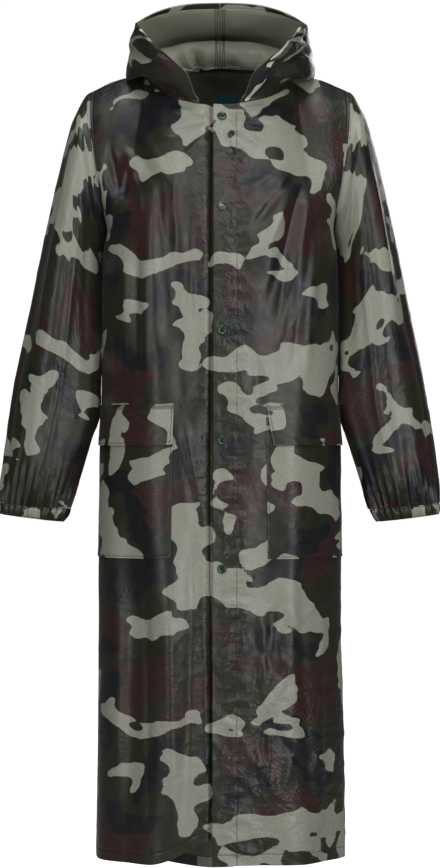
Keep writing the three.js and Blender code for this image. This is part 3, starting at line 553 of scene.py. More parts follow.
def print_fields(kind, side, x, z, stitch=NO_STITCH, crumple=0.0):
    """What a piece's material needs, at girth x and height z of its flat cloth.

    That is how far inside the print's patches and from a stitch row it is, and how crumpled.
    """
    along_cut, up_cut = CUT_FROM[kind][side]
    x, z = x + along_cut, z + up_cut
    a, b = x + PRINT_SIDEWAYS(x, z), z + PRINT_UP(x, z)
    fields = {key: depth_in(patches, a, b) for key, patches in PATCHES.items()}
    for key, value in (("stitch", stitch), ("crumple", crumple)):
        fields[key] = np.broadcast_to(value, a.shape).astype(float)
    return fields


# ---------------------------------------------------------------- shells


def folded_edges(outer, ways, fields, uv, edges):
    """Adds rows and columns where cloth is tucked in at a seam or turned in as a hem.

    edges maps "first_row", "last_row", "first_column", "last_column" to ("tuck" or "hem", length).
    Gives the outer points, the offsets to the inner face, and the fields and uv stretched to match.
    """
    grids = {**fields, "outer": outer, "inner": ways * CLOTH, "ways": ways, "uv": uv}
    for edge, (kind, length) in edges.items():
        axis = 0 if "row" in edge else 1
        turned = lambda: {k: np.flip(a, axis) if "first" in edge else a for k, a in grids.items()}
        grids = turned()
        take = lambda name, i: np.take(grids[name], [i], axis=axis)
        last, before, way = take("outer", -1), take("outer", -2), take("ways", -1)
        off = last - before
        off = unit(off - way * np.sum(off * way, axis=-1, keepdims=True))
        if kind == "tuck":
            extra = [(last + way * length + off * SEAM_CLOSE, -off * CLOTH, way)]
        else:
            extra = [(last + way * HEM_DEPTH, -way * CLOTH - off * CLOTH, way)]
            steps = max(2, round(length / float(np.median(np.linalg.norm(last - before, axis=-1)))))
            for k in range(1, steps + 1):
                way = take("ways", -1 - k)
                extra.append((take("outer", -1 - k) + way * HEM_DEPTH, -way * CLOTH, way))
        inner = grids["inner"]
        rest = np.take(inner, range(inner.shape[axis] - 1), axis=axis)
        grids["inner"] = np.concatenate([rest, take("inner", -1) - off * CLOTH], axis=axis)
        for point, offset, way in extra:
            new = {name: take(name, -1) for name in grids}
            new.update(outer=point, inner=offset, ways=way, uv=new["uv"] + (new["uv"] - take("uv", -2)) * 0.5)
            grids = {name: np.concatenate([a, new[name]], axis=axis) for name, a in grids.items()}
        grids = turned()
    return grids["outer"], grids["inner"], {k: grids[k] for k in fields}, grids["uv"]


def show(name, data):
    made = bpy.data.objects.new(name, data)
    bpy.context.scene.collection.objects.link(made)
    return made


def shell(name, outer, inner, closed, uv, fields, materials):
    """A thin closed shell from its outer points (mm) and the offsets to its inner face.

    A closed tube's uv and fields have one more column than its points.
    """
    high, wide = outer.shape[:2]
    uv_wide = uv.shape[1]
    points = np.concatenate([outer.reshape(-1, 3), (outer + inner).reshape(-1, 3)]) * MM
    faces, places, slots = [], [], []

    def quads(i, j, corners, slot=0):
        """One quad at each i, j; its corners are rows on, columns on, and 1 for the inner face."""
        place = lambda a, b, c: (i + a) * wide + (j + b) % wide + c * high * wide
        faces.append(np.stack([place(*corner) for corner in corners], axis=1))
        places.append(np.stack([(i + a) * uv_wide + j + b for a, b, c in corners], axis=1))
        slots.append(np.full(len(i), slot))

    k, m = np.arange(wide if closed else wide - 1), np.arange(high - 1)
    i, j = (part.ravel() for part in np.meshgrid(m, k, indexing="ij"))
    quads(i, j, ((0, 0, 0), (0, 1, 0), (1, 1, 0), (1, 0, 0)))
    quads(i, j, ((0, 0, 1), (1, 0, 1), (1, 1, 1), (0, 1, 1)), 1)
    quads(0 * k, k, ((0, 0, 0), (0, 0, 1), (0, 1, 1), (0, 1, 0)))
    quads(0 * k + high - 1, k, ((0, 0, 0), (0, 1, 0), (0, 1, 1), (0, 0, 1)))
    if not closed:
        quads(m, 0 * m, ((0, 0, 0), (1, 0, 0), (1, 0, 1), (0, 0, 1)))
        quads(m, 0 * m + wide - 1, ((0, 0, 0), (0, 0, 1), (1, 0, 1), (1, 0, 0)))
    faces, places, slots = (np.concatenate(parts) for parts in (faces, places, slots))
    a, b, c, d = (points[faces[:, n]] for n in range(4))
    volume = (a * np.cross(b, c)).sum() + (a * np.cross(c, d)).sum()
    if volume < 0:
        faces, places = faces[:, ::-1], places[:, ::-1]
    mesh = bpy.data.meshes.new(name)
    mesh.vertices.add(len(points))
    mesh.vertices.foreach_set("co", points.ravel())
    mesh.loops.add(faces.size)
    mesh.loops.foreach_set("vertex_index", faces.ravel().astype(np.int32))
    mesh.polygons.add(len(faces))
    mesh.polygons.foreach_set("loop_start", np.arange(0, faces.size, 4, dtype=np.int32))
    mesh.polygons.foreach_set("material_index", slots.astype(np.int32))
    mesh.update(calc_edges=True)
    mesh.uv_layers.new(name="Cloth").data.foreach_set("uv", (uv.reshape(-1, 2)[places.ravel()] * MM).ravel())
    for key, field in fields.items():
        values = field.reshape(-1)[places.ravel()].astype(np.float32)
        mesh.attributes.new(key, "FLOAT", "CORNER").data.foreach_set("value", values)
    for material in materials:
        mesh.materials.append(material)
    smooth(mesh, 55)
    return show(name, mesh)


def smooth(mesh, sharp):
    """Smooth shading, but for edges sharper than an angle in degrees."""
    mesh.polygons.foreach_set("use_smooth", np.ones(len(mesh.polygons), dtype=bool))
    mesh.validate()
    mesh.set_sharp_from_angle(angle=math.radians(sharp))


# Flat cut of what shows of each piece with its turned-in edges, worked out from the plain form's widths
# and lengths before any fold: width, length and the share of that rectangle that the cut fills.
CUT = {
    "back": (637, 1342, 0.89),  # 637 at the hem, 546 at the armpit, 521 over the yoke
    "front_left": (340, 1293, 0.90),  # 340 at the hem, 296 at the armpit
    "front_right": (368, 1293, 0.875),  # 16 wider, under the lap
    "sleeve": (580, 690, 0.64),  # all round: 579 at the top, 316 at the wrist
    "cuff": (400, 22, 1.0),  # all round, before the elastic gathers it
    "hood": (390, 500, 0.43),  # 305 at the neck, 382 half way, 146 at the rim; 159 to 497 tall
    "hood_hem": (26, 301, 0.43),  # about 15 wide up the opening and 7 over the rim
    "pocket": (185, 220, 1.0),
    "flap": (185, 64, 1.0),
    "label": (30, 40, 1.0),
}


def settle(piece, node, cut):
    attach(piece, "root")
    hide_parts(node)
    width, length, share = CUT[cut]
    width, length = width * MM, length * MM


def add_cloth(
    node, outer, inner, uv, fields, lining, cut, closed=False,
):
    piece = shell(f"cloth_{node}", outer, inner, closed, uv, fields, [PRINT, lining])
    settle(piece, node, cut)


# ---------------------------------------------------------------- materials


class Nodes:
    """A material's node tree, built from small expressions."""

    def __init__(self, name):
        self.material = bpy.data.materials.new(name)
        self.material.use_nodes = True
        self.tree = self.material.node_tree
        self.shader = next(n for n in self.tree.nodes if n.type == "BSDF_PRINCIPLED")

    def look(self, **inputs):
        for key, value in inputs.items():
            self.put(self.shader.inputs[key.replace("_", " ")], value)
        return self.material

    def cloth_place(self):
        return self.node("ShaderNodeUVMap", uv_map="Cloth").outputs[0]

    def node(self, kind, inputs=(), **settings):
        made = self.tree.nodes.new(kind)
        for key, value in settings.items():
            setattr(made, key, value)
        for key, value in dict(inputs).items():
            self.put(made.inputs[key], value)
        return made

    def put(self, socket, value):
        if hasattr(value, "links"):
            self.tree.links.new(value, socket)
        else:
            socket.default_value = value

    def math(self, operation, a, b=0.0, c=0.0):
        return self.node("ShaderNodeMath", {0: a, 1: b, 2: c}, operation=operation).outputs[0]

    def from_middle(self, noise):
        return self.math("SUBTRACT", noise, 0.5)

    def field(self, name):
        return self.node("ShaderNodeAttribute", attribute_name=name).outputs["Fac"]

    def ramp(self, value, low, high, to_low=0.0, to_high=1.0):
        inputs = {"Value": value, "From Min": low, "From Max": high, "To Min": to_low, "To Max": to_high}
        return self.node("ShaderNodeMapRange", inputs, interpolation_type="SMOOTHSTEP").outputs["Result"]

    def noise(self, where, scale, detail=2.0, rough=0.5, stretch=None):
        if stretch:
            where = self.node("ShaderNodeMapping", {"Vector": where, "Scale": stretch}).outputs[0]
        inputs = {"Vector": where, "Scale": scale, "Detail": detail, "Roughness": rough}
        return self.node("ShaderNodeTexNoise", inputs).outputs["Fac"]

    def mix(self, share, a, b):
        made = self.node("ShaderNodeMix", data_type="RGBA")
        self.put(made.inputs[0], share)
        self.put(made.inputs[6], a)
        self.put(made.inputs[7], b)
        return made.outputs[2]

    def bump(self, height, strength, distance, before=None):
        inputs = {"Height": height, "Strength": strength, "Distance": distance}
        if before is not None:
            inputs["Normal"] = before
        return self.node("ShaderNodeBump", inputs).outputs["Normal"]


def colour(red, green, blue, share=1.0):
    """A linear colour from a usual 0 to 255 one."""
    linear = lambda v: ((v / 255 + 0.055) / 1.055) ** 2.4 if v > 10.3 else v / 255 / 12.92
    return (linear(red) * share, linear(green) * share, linear(blue) * share, 1.0)


OLIVE = colour(34, 37, 21)
PRINT_LAYERS = [  # field, colour, and the depths in a patch where it starts and is full
    ("brown", colour(50, 28, 26), -6.0, -3.0), ("navy", colour(15, 19, 24), -5.5, -2.5),
    ("light", colour(151, 152, 138), -4.0, -2.8),
]


def cloth_bump(n, uv, crumple):
    """Weave, fine crumple and long soft ripples of coated nylon."""
    crease = n.math("ABSOLUTE", n.from_middle(n.noise(uv, 28, 3, 0.55)))
    crease = n.math("POWER", n.math("SUBTRACT", 1.0, n.math("MULTIPLY", crease, 3.0)), 3.0)
    places = n.ramp(n.noise(uv, 6.5, 2, 0.5), 0.42, 0.66, 0.08, 0.4)
    places = n.math("MAXIMUM", places, n.field("crumple"))
    normal = n.bump(n.math("MULTIPLY", crease, places), 0.85 * crumple, 0.0016)
    soft = n.math("MULTIPLY", n.noise(uv, 75, 3, 0.6), places)
    normal = n.bump(soft, 0.35 * crumple, 0.0008, normal)
    return n.bump(n.noise(uv, 1400, 1, 0.5), 0.12, 0.0002, normal)


STITCH_TURN = 2100.0  # radians to a metre of cloth: one stitch every 3 mm


def sewn(n, uv, shade, normal):
    """Dark thread in dashes, in a groove, along the stitch rows."""
    off = n.math("ABSOLUTE", n.field("stitch"))
    split = n.node("ShaderNodeSeparateXYZ", {0: uv})
    dash = n.math("SINE", n.math("MULTIPLY", n.math("ADD", split.outputs[0], split.outputs[1]), STITCH_TURN))
    thread = n.math("MULTIPLY", n.ramp(off, 0.4, 0.9, 1.0, 0.0), n.ramp(dash, -0.6, 0.2))
    groove = n.ramp(off, 0.3, 3.2)
    return n.mix(thread, shade, colour(24, 25, 22)), n.bump(groove, 0.4, 0.0009, normal)


def print_material():
    n = Nodes("print_cloth")
    uv = n.cloth_place()
    wobble = n.math("MULTIPLY", n.from_middle(n.noise(uv, 55, 3, 0.55)), 8.0)
    nibble = n.math("MULTIPLY", n.from_middle(n.noise(uv, 19, 2, 0.5)), 22.0)
    wobble = n.math("ADD", wobble, nibble)
    spike = n.math("ABSOLUTE", n.from_middle(n.noise(uv, 15, 1, 0.4, stretch=(0.7, 1.5, 1))))
    spike = n.math("MULTIPLY", n.ramp(spike, 0.0, 0.16, 1.0, 0.0), 13.0)
    wobble = n.math("SUBTRACT", n.math("ADD", wobble, spike), 8.0)
    shade = OLIVE
    for name, tint, low, high in PRINT_LAYERS:
        shade = n.mix(n.ramp(n.math("ADD", n.field(name), wobble), low, high), shade, tint)
    mottle = n.ramp(n.noise(uv, 240, 4, 0.7), 0.3, 0.7, 0.9, 1.1)
    tinted = n.node("ShaderNodeVectorMath", {0: shade, "Scale": mottle}, operation="SCALE").outputs[0]
    shade, normal = sewn(n, uv, tinted, cloth_bump(n, uv, 1.0))
    rough = n.ramp(n.noise(uv, 60, 3, 0.6), 0.3, 0.7, 0.36, 0.46)
    n.look(Base_Color=shade, Roughness=rough, Normal=normal)
    return n.look(Specular_IOR_Level=0.55, Sheen_Weight=0.08, Sheen_Roughness=0.4)


def backing_material(name, low, high):
    n = Nodes(name)
    uv = n.cloth_place()
    mottle = n.ramp(n.noise(uv, 18, 3, 0.6), 0.3, 0.7, 0.0, 1.0)
    shade, normal = sewn(n, uv, n.mix(mottle, low, high), cloth_bump(n, uv, 0.8))
    rough = n.ramp(n.noise(uv, 60, 3, 0.6), 0.3, 0.7, 0.28, 0.4)
    return n.look(Base_Color=shade, Roughness=rough, Normal=normal)


def snap_material():
    n = Nodes("snap_enamel")
    where = n.node("ShaderNodeNewGeometry").outputs["Position"]
    shade = n.mix(n.noise(where, 300, 2), colour(16, 46, 26), colour(24, 62, 34))
    rough = n.ramp(n.noise(where, 900, 2), 0.3, 0.7, 0.16, 0.28)
    return n.look(Base_Color=shade, Roughness=rough, Coat_Weight=0.6, Coat_Roughness=0.08)


def label_material():
    n = Nodes("label_weave")
    weave = n.noise(n.cloth_place(), 1800, 1, 0.5, stretch=(1.0, 0.35, 1.0))
    shade = n.mix(weave, colour(10, 84, 102), colour(20, 104, 122))
    return n.look(Base_Color=shade, Roughness=0.65, Normal=n.bump(weave, 0.4, 0.0003))


PRINT, ENAMEL, LABEL = print_material(), snap_material(), label_material()
# The plain grey-green inside is one cloth, drawn as two copies. The hood's lining is painted much lighter, as
# painted light for its shaded hollow and the highlight on its slumped fold.
HOOD_BACKING_PAINTED_LIGHT = backing_material("hood_backing_painted_light", colour(204, 208, 188), colour(216, 219, 200))
# The body's lining (back, fronts, sleeves, cuffs, pockets, flaps) is painted darker than the hood's: painted
# shade for the dark inside at the back neck and under the lifted hem.
BODY_BACKING_PAINTED_SHADE = backing_material("body_backing_painted_shade", colour(84, 86, 72), colour(100, 102, 88))

# ---------------------------------------------------------------- pieces


def uv_of(x, z):
    return np.stack(np.broadcast_arrays(x, z), axis=-1).astype(float)


def add_panel(node, kind, side, surface, columns, v, out, closing, rows_sewn=(), crumple=0.0):
    """A front or the back, tucked in at its seams and turned in and stitched at its hems."""
    grid, ways, plain = surface
    column, v = np.meshgrid(columns, v)
    girth, height = print_place(side, column, v, plain)
    above_hem = plain[..., 2] - plain[:1, :, 2]
    past_armpit = 60 * ease(-v / 0.05)  # out of reach: the armhole's stitch row ends at the armpit
    armhole_row = girth_at(90) - girth_at(out(column)) - SEAM_ROW + past_armpit
    stitch = stitching(above_hem - HEM_TURN, armhole_row, *rows_sewn)
    fields = print_fields(kind, side, girth, height, stitch, crumple)
    edges = {"first_column": SEWN, "last_column": closing, "last_row": SEWN, "first_row": ("hem", HEM_TURN)}
    outer, inner, fields, uv = folded_edges(grid, ways, fields, uv_of(girth, height), edges)
    add_cloth(node, outer, inner, uv, fields, BODY_BACKING_PAINTED_SHADE, node)


def add_front(side):
    lap_column = -math.degrees(math.atan(LAP[side] / FRONT_REACH))
    columns, v = even_columns(90, lap_column), rows()
    surface = front_surface(side, columns, v)
    x, z = surface[2][..., 0], surface[2][..., 2]
    crumple, rows_sewn = 0.6 * bell(x + 25, 22), []
    if side == LEFT:
        crumple = np.maximum(bell(x - 20, 24), 0.8 * ease((-840 - z) / 160) * ease((x - 10) / 50))
        rows_sewn = [x - FACING_ROW]
    node, facing = f"front_{NAMES[side]}", ("hem", FACING_TURN)
    add_panel(node, "front", side, surface, columns, v, np.asarray, facing, rows_sewn, crumple)


def add_back():
    out = even_columns(0, 90, BACK_CELL)
    columns, v = np.concatenate([-out[:0:-1], out]), rows(BACK_CELL)
    surface = back_surface(columns, v)
    add_panel("back", "back", LEFT, surface, columns, v, np.abs, SEWN)


def armhole(side, turn):
    """Points on the armhole, the ways in there and the ways off the edge; turn 0 is the shoulder tip."""
    front = turn <= 0.5
    v = np.abs(1 - 2 * turn)

    def edge(column, v):
        a = front_plain(side, np.full_like(v, column), v)
        b = back_plain(np.full_like(v, side * column), v)
        return np.where(front[:, None], a, b)

    low, high = np.clip(v - 0.02, 1e-6, 1), np.clip(v + 0.02, 1e-6, 1)
    point = edge(90.0, np.maximum(v, 1e-6))
    rise = unit(edge(90.0, high) - edge(90.0, low))
    away = point - edge(84.0, np.maximum(v, 1e-6))
    away = unit(away - rise * np.sum(away * rise, axis=-1, keepdims=True))
    way = unit(np.cross(rise, away)) * np.where(front, 1, -1)[:, None] * side
    return point, way, away


def sleeve_section(side, row, turn):
    cosine, sine = np.cos(turn * 2 * np.pi), np.sin(turn * 2 * np.pi)
    return vector(
        side * ((row["inX"] + row["outX"]) / 2 + (row["outX"] - row["inX"]) / 2 * cosine),
        row["y"] - row["depth"] * sine,
        (row["inZ"] + row["outZ"]) / 2 + (row["outZ"] - row["inZ"]) / 2 * cosine,
    )


def gather_wave(turn, seed):
    """An uneven run of little pleats round a gathered end, about -1 to 1."""
    shift = 0.9 * PUCKER(turn * 9, seed + 0.5)
    base = np.cos(2 * np.pi * 27 * turn + 2.4 * shift + seed)
    return 0.62 * base + 0.38 * PUCKER(turn * 58, seed + 3.3)


SLEEVE_LENGTH, SLEEVE_GIRTH = 640.0, 470.0
SLEEVE_HEAD_ROWS = 12  # these rows are as far round as the next one, whatever their pleats
SLEEVE_SEED = {LEFT: 4, RIGHT: 9}
SLEEVE_FINE = [  # turn, width, depth, from, to, twist
    (0.12, 0.018, 2.4, 0.1, 0.6, 0.05), (0.22, 0.02, -2.6, 0.15, 0.8, 0.03),
    (0.27, 0.016, 2.2, 0.3, 0.95, -0.02), (0.33, 0.02, -2.4, 0.1, 0.55, 0.06),
    (0.4, 0.02, 2.2, 0.35, 0.9, -0.03), (0.05, 0.02, -2.0, 0.4, 0.95, 0.02),
    (0.62, 0.022, 2.4, 0.1, 0.7, 0.04), (0.72, 0.02, -2.4, 0.3, 0.9, -0.03),
    (0.84, 0.02, 2.2, 0.15, 0.7, 0.03), (0.94, 0.02, -2.2, 0.35, 0.95, -0.02),
]


def rest_on_body(side, plain, turn, share):
    """Leans a sleeve's inner side on the body, where a hanging arm's cloth touches it."""
    wall = np.abs(body_point(side * np.pi / 2, plain[..., 2])[..., 0]) + SEAM
    gap = np.abs(plain[..., 0]) - wall
    held = ease(share / 0.02) * ease((0.74 - share) / 0.12)
    inner = bell((turn - 0.5) * SLEEVE_GIRTH, 42)
    return plain - vector(side * np.clip(gap, 0, 9) * held * inner, 0, 0)


def sleeve_stand(side, t, s):
    """How far a sleeve's cloth stands out at turn t and share s of its length."""
    seed = SLEEVE_SEED[side]
    stand = 0.0
    for at, width, depth, start, end in SLEEVE_FOLDS:
        offset = (t - at + 0.5) % 1 - 0.5
        stand = stand + depth * bell(offset, width) * bell(s - (start + end) / 2, (end - start) / 2)
    for at, width, depth, start, end, twist in SLEEVE_FINE:
        at = at + (0.02 if side == LEFT else 0)
        offset = (t - at - twist * (s - start) + 0.5) % 1 - 0.5
        stand = stand + depth * bell(offset, width) * ease((s - start) / 0.15) * ease((end - s) / 0.15)
    around, down = t * SLEEVE_GIRTH, -s * SLEEVE_LENGTH
    stand = stand + 1.4 * SOFT(around / 40 + seed, down / 110) * ease(s / 0.1)
    stand = stand + crinkles(around + 60 * seed, down, 0.5) * ease(s / 0.06)
    gathers = gather_wave(t, seed) * ease((s - 0.72) / 0.2) + 0.35 * SOFT(t * 24, s * 9 + seed)
    stand = stand + 5.4 * ease((s - 0.78) / 0.22) * gathers
    return stand + 1.6 * ease((s - 0.6) / 0.3) * SOFT(t * 30 + 3, s * 4 + seed)


def round_turns(count):
    """Turns all round a tube, from its inner side on."""
    return (np.arange(count) / count + 0.5) % 1.0


def ways_into(tube, middle):
    ways = normals_of(tube, True)
    return -ways if np.sum((middle - tube) * ways) < 0 else ways


def with_first(a):
    """A tube's rings with their first point once more at the end."""
    return np.concatenate([a, a[:, :1]], axis=1)


def sleeve_print(plain):
    """Where a sleeve's points lie on its flat cloth: round the arm from its outer line, and down along it."""
    count = plain.shape[1]
    along_arm = unit(plain[-1].mean(axis=0) - plain[0].mean(axis=0))
    down = (with_first(plain) - plain[0, count // 2]) @ along_arm
    steps = np.diff(with_first(plain), axis=1)
    steps = steps - (steps @ along_arm)[..., None] * along_arm
    girth = np.linalg.norm(steps, axis=-1).sum(axis=1, keepdims=True)
    girth[:SLEEVE_HEAD_ROWS] = girth[SLEEVE_HEAD_ROWS]
    return girth * (np.arange(count + 1) / count - 0.5), -down


def add_sleeve(side):
    name, turn = NAMES[side], round_turns(132)
    share = np.concatenate([[0, 0.012], np.linspace(0.025, 1, int(SLEEVE_LENGTH / CELL))])
    point, way, away = armhole(side, turn)
    stations = [point + away * SEAM] + [sleeve_section(side, row, turn) for row in rows_of(SLEEVE)]
    t, s = np.meshgrid(turn, share)
    plain = rest_on_body(side, along(np.stack(stations), share, away * ARMHOLE_PULL), t, s)
    middle = plain.mean(axis=1, keepdims=True)
    grid = plain - ways_into(plain, middle) * sleeve_stand(side, t, s)[..., None]
    ways = ways_into(grid, middle)
    ways[0] = unit(np.where(np.sum(way * ways[1], axis=-1, keepdims=True) < 0, -way, way))
    around, down = np.meshgrid(np.linspace(0, 1, len(turn) + 1) * SLEEVE_GIRTH, -share * SLEEVE_LENGTH)
    print_x, print_z = sleeve_print(plain)
    fields = print_fields("sleeve", side, side * print_x, print_z, -down - SEAM_ROW)
    tucked = np.concatenate([(grid[0] + ways[0] * TUCK)[None], grid])
    inner = np.concatenate([(away * CLOTH)[None], ways * CLOTH])
    uv = uv_of(around, down)
    uv = np.concatenate([uv[:1], uv])
    fields = {k: np.concatenate([f[:1], f]) for k, f in fields.items()}
    add_cloth(f"sleeve_{name}", tucked, inner, uv, fields, BODY_BACKING_PAINTED_SHADE, "sleeve", closed=True)


def add_cuff(side):
    name, seed, turn = NAMES[side], SLEEVE_SEED[side], round_turns(330)
    shares = np.linspace(0.03, 1, 13)
    rings = []
    for share in shares:
        row = {key: lerp(values[-1], CUFF.get(key, values[-1]), share) for key, values in SLEEVE.items()}
        ring = sleeve_section(side, row, turn)
        squeeze = np.sin(np.pi * share)
        wave = gather_wave(turn, seed) * (1.0 - 0.25 * squeeze) + 0.3 * PUCKER(turn * 90, share * 2 + seed)
        swell = CUFF["swell"] * squeeze + 3.0 * wave
        rings.append(ring + unit(ring - ring.mean(axis=0)) * swell[:, None])
    grid = np.stack(rings)
    ways = ways_into(grid, grid.mean(axis=1, keepdims=True))
    down = -SLEEVE_LENGTH - shares * CUFF_LENGTH
    a, b = np.meshgrid(np.linspace(0, 1, len(turn) + 1) * SLEEVE_GIRTH, down)
    stitch = stitching(down[0] - b - CUFF_ROW, b - down[-1] - CUFF_ROW)
    fields = print_fields("cuff", side, side * a, b, stitch)
    closing = np.concatenate([grid, (grid[-1] + ways[-1] * 3)[None]])
    inner = np.concatenate([ways * CLOTH, np.broadcast_to([0, 0, CLOTH], grid[-1].shape)[None]])
    uv = uv_of(a, b)
    uv = np.concatenate([uv, uv[-1:]])
    fields = {k: np.concatenate([f, f[-1:]]) for k, f in fields.items()}
    add_cloth(
        f"cuff_{name}", closing, inner, uv, fields, BODY_BACKING_PAINTED_SHADE, "cuff",
        closed=True,
    )


HOOD_CLOTH = (300.0, 290.0)  # usual lengths from the opening to the middle, and from the neck to the rim


def hood_angles(u):
    ahead = np.clip(1 - u / 0.5, 0, 1) * np.pi / 2
    behind = np.clip((u - 0.5) / 0.5, 0, 1) * np.pi / 2
    return ahead, behind


def hood_base(side, u):
    ahead, behind = hood_angles(u)
    front = np.array([c for c in FRONT_COLUMNS if HOOD_START <= c <= NECK_FOOT][::-1], float)
    place = (1 - ahead / (np.pi / 2)) * (len(front) - 1)
    column = np.interp(place, np.arange(len(front)), front)
    degrees = np.where(behind > 0, 90 + np.degrees(behind), neck_degrees(column))
    return neck_point(side, degrees) + vector(0, 0, SEAM)


def hood_ring(side, ring, u):
    ahead, behind = hood_angles(u)
    near = np.cos(behind)
    rear = vector(
        side * ring["half"] * near,
        lerp(ring["side"], ring["back"], np.sin(behind)),
        lerp(ring["backZ"], ring["sideZ"], near**HOOD_ARCH),
    )
    fore = vector(
        side * lerp(ring["edge"], ring["half"], np.cos(ahead)),
        lerp(ring["side"], ring["front"], np.sin(ahead)),
        lerp(ring["sideZ"], ring["frontZ"], 1 - np.cos(ahead)),
    )
    return np.where((behind > 0)[:, None], rear, fore)


def hood_surface(side, u, v):
    base = hood_base(side, u)
    rings = [base, base + vector(0, 0, HOOD_LIP)] + [hood_ring(side, row, u) for row in rows_of(HOOD)]
    grid = along(np.stack(rings), v) + vector(side * SEAM / 2, 0, 0)
    return grid, -normals_of(grid) * side


HOOD_SLUMP = [  # x1, z1, x2, z2, width, depth: creases of the lining below its slumped fold
    (-66, 74, -36, 8, 6, 8.0), (-48, 74, -28, 10, 7, -10.0), (-22, 72, -26, 8, 6, 6.5),
    (18, 66, 58, 30, 8, 4.5), (8, 44, 72, 18, 7, -5.5), (64, 72, 86, 30, 7, 5.0), (-94, 72, -78, 14, 7, 5.0),
]


def hood_stand(side, u, v):
    fade = ease(u / 0.06) * ease((1 - u) / 0.05) * ease(v / 0.06) * ease((1 - v) / 0.06)
    shift = 0 if side == LEFT else 17
    soft = 2.2 * SOFT(u * 7 + shift, v * 6) + 1.2 * SOFT(u * 16 + shift, v * 13)
    ahead = ease((0.5 - u) / 0.2)
    small = crinkles(u * HOOD_CLOTH[0] + 40 * shift, v * HOOD_CLOTH[1], 0.5 + 0.9 * ahead)
    return fade * (soft * (1 + 0.6 * ahead) + small)


def add_hood(side):
    name = NAMES[side]
    u, v = np.linspace(0, 1, 76), np.linspace(0, 1, 112)
    plain, ways = hood_surface(side, u, v)
    u, v = np.meshgrid(u, v)
    slump = creases(HOOD_SLUMP, plain[..., 0], plain[..., 2])
    slump = slump * ease((u - 0.5) / 0.1) * ease((0.42 - v) / 0.08) * ease(v / 0.06) * ease((1 - u) / 0.03)
    stand = hood_stand(side, u, v) - slump
    grid = plain - ways * stand[..., None]
    ways = -normals_of(grid) * side
    from_middle, from_rim = run_along(plain[:, ::-1], 1)[:, ::-1], run_along(plain[::-1], 0)[::-1]
    from_opening, a, b = run_along(plain, 1), -side * from_middle, run_along(plain, 0)
    middle_rows = abs(from_middle - SEAM_ROW) - 2
    stitch = stitching(middle_rows, from_opening - HEM_TURN, from_rim - HEM_TURN, b - SEAM_ROW)
    fields = print_fields("hood", side, a, b, stitch)
    edges = {"first_row": SEWN, "last_column": SEWN}
    outer, inner, fields, uv = folded_edges(grid, ways, fields, uv_of(a, b), edges)
    add_cloth(f"hood_{name}", outer, inner, uv, fields, HOOD_BACKING_PAINTED_LIGHT, "hood")


def add_hood_hem(side):
    """The hem turned in along the opening, up the side and over the rim."""
    name, step = NAMES[side], np.array([-0.01, 0, 0.01])
    up, over = np.linspace(0, 1 - HOOD_HEM["over"], 96), np.linspace(0, 1, 70)[1:]
    across = np.linspace(0, 1, 6)
    level, wide = np.ones(len(across)), np.ones(len(up))
    u = np.concatenate([np.outer(wide, across * HOOD_HEM["up"]), np.outer(over, level)])
    v = np.concatenate([np.outer(up, level), 1 - np.outer(wide[: len(over)], across * HOOD_HEM["over"])])
    grid, ways = np.zeros(u.shape + (3,)), np.zeros(u.shape + (3,))
    for place in np.ndindex(u.shape):
        near_u, near_v = np.clip(u[place] + step, 0, 1), np.clip(v[place] + step, 0, 1)
        points, ways_in = hood_surface(side, near_u, near_v)
        grid[place], ways[place] = points[1, 1], ways_in[1, 1]
    outer = grid + ways * (HOOD_HEM["lift"] + CLOTH)
    a, b = np.meshgrid(across * HOOD_HEM["width"], np.linspace(0, HOOD_HEM["run"], len(u)))
    node, uv, fields = f"hood_hem_{name}", uv_of(a, b), print_fields("hood_hem", side, side * a, b)
    inner, rests_on = -ways * CLOTH, [f"hood_{name}"]
    add_cloth(
        node, outer, inner, uv, fields, HOOD_BACKING_PAINTED_LIGHT, "hood_hem",
    )


FLAP_SLANT = 0.055  # how far the left flap's edge is drawn in at its foot, as a share of its width


def slanted(grid, share, height):
    """Draws a grid's last column in towards the bottom row."""
    moved = []
    for row, up in zip(grid, height):
        at = share * (1 - FLAP_SLANT * (1 - up))
        moved.append(np.stack([np.interp(at, share, row[:, k]) for k in range(3)], axis=-1))
    return np.stack(moved)


OVERLAY_COLUMNS = (84, 27)
OVERLAY_HEIGHTS = {"pocket": (-752, -532), "flap": (-576, -512)}
THREAD_IN = 3  # how far in from a pocket's or flap's edge it is sewn


def overlay_lift(side, kind, s, t, wide, tall):
    """How far a pocket or flap stands off the front, at shares s across and t up."""
    if kind == "pocket":
        middle = 0.9 + 2.2 * np.sin(np.pi * t) ** 0.7
        lift = 0.9 + (middle - 0.9) * np.sin(np.pi * s) ** 0.6
        if side == LEFT:  # a crease down the pouch
            lift = lift + 1.3 * bell((s - lerp(0.26, 0.18, t)) * wide, 4)
        return lift
    middle = 1.2 + 4.6 * (1 - t) ** 1.5
    lift = np.where(s < 0.5, lerp(1.1 + 2.0 * (1 - t), middle, np.sin(np.pi * s) ** 0.6), middle)
    if side == RIGHT:  # a snap beneath shows through
        lift = lift + 0.6 * bell(np.hypot((s - 0.79) * wide, (t - 0.43) * tall) - 6, 2)
    return lift


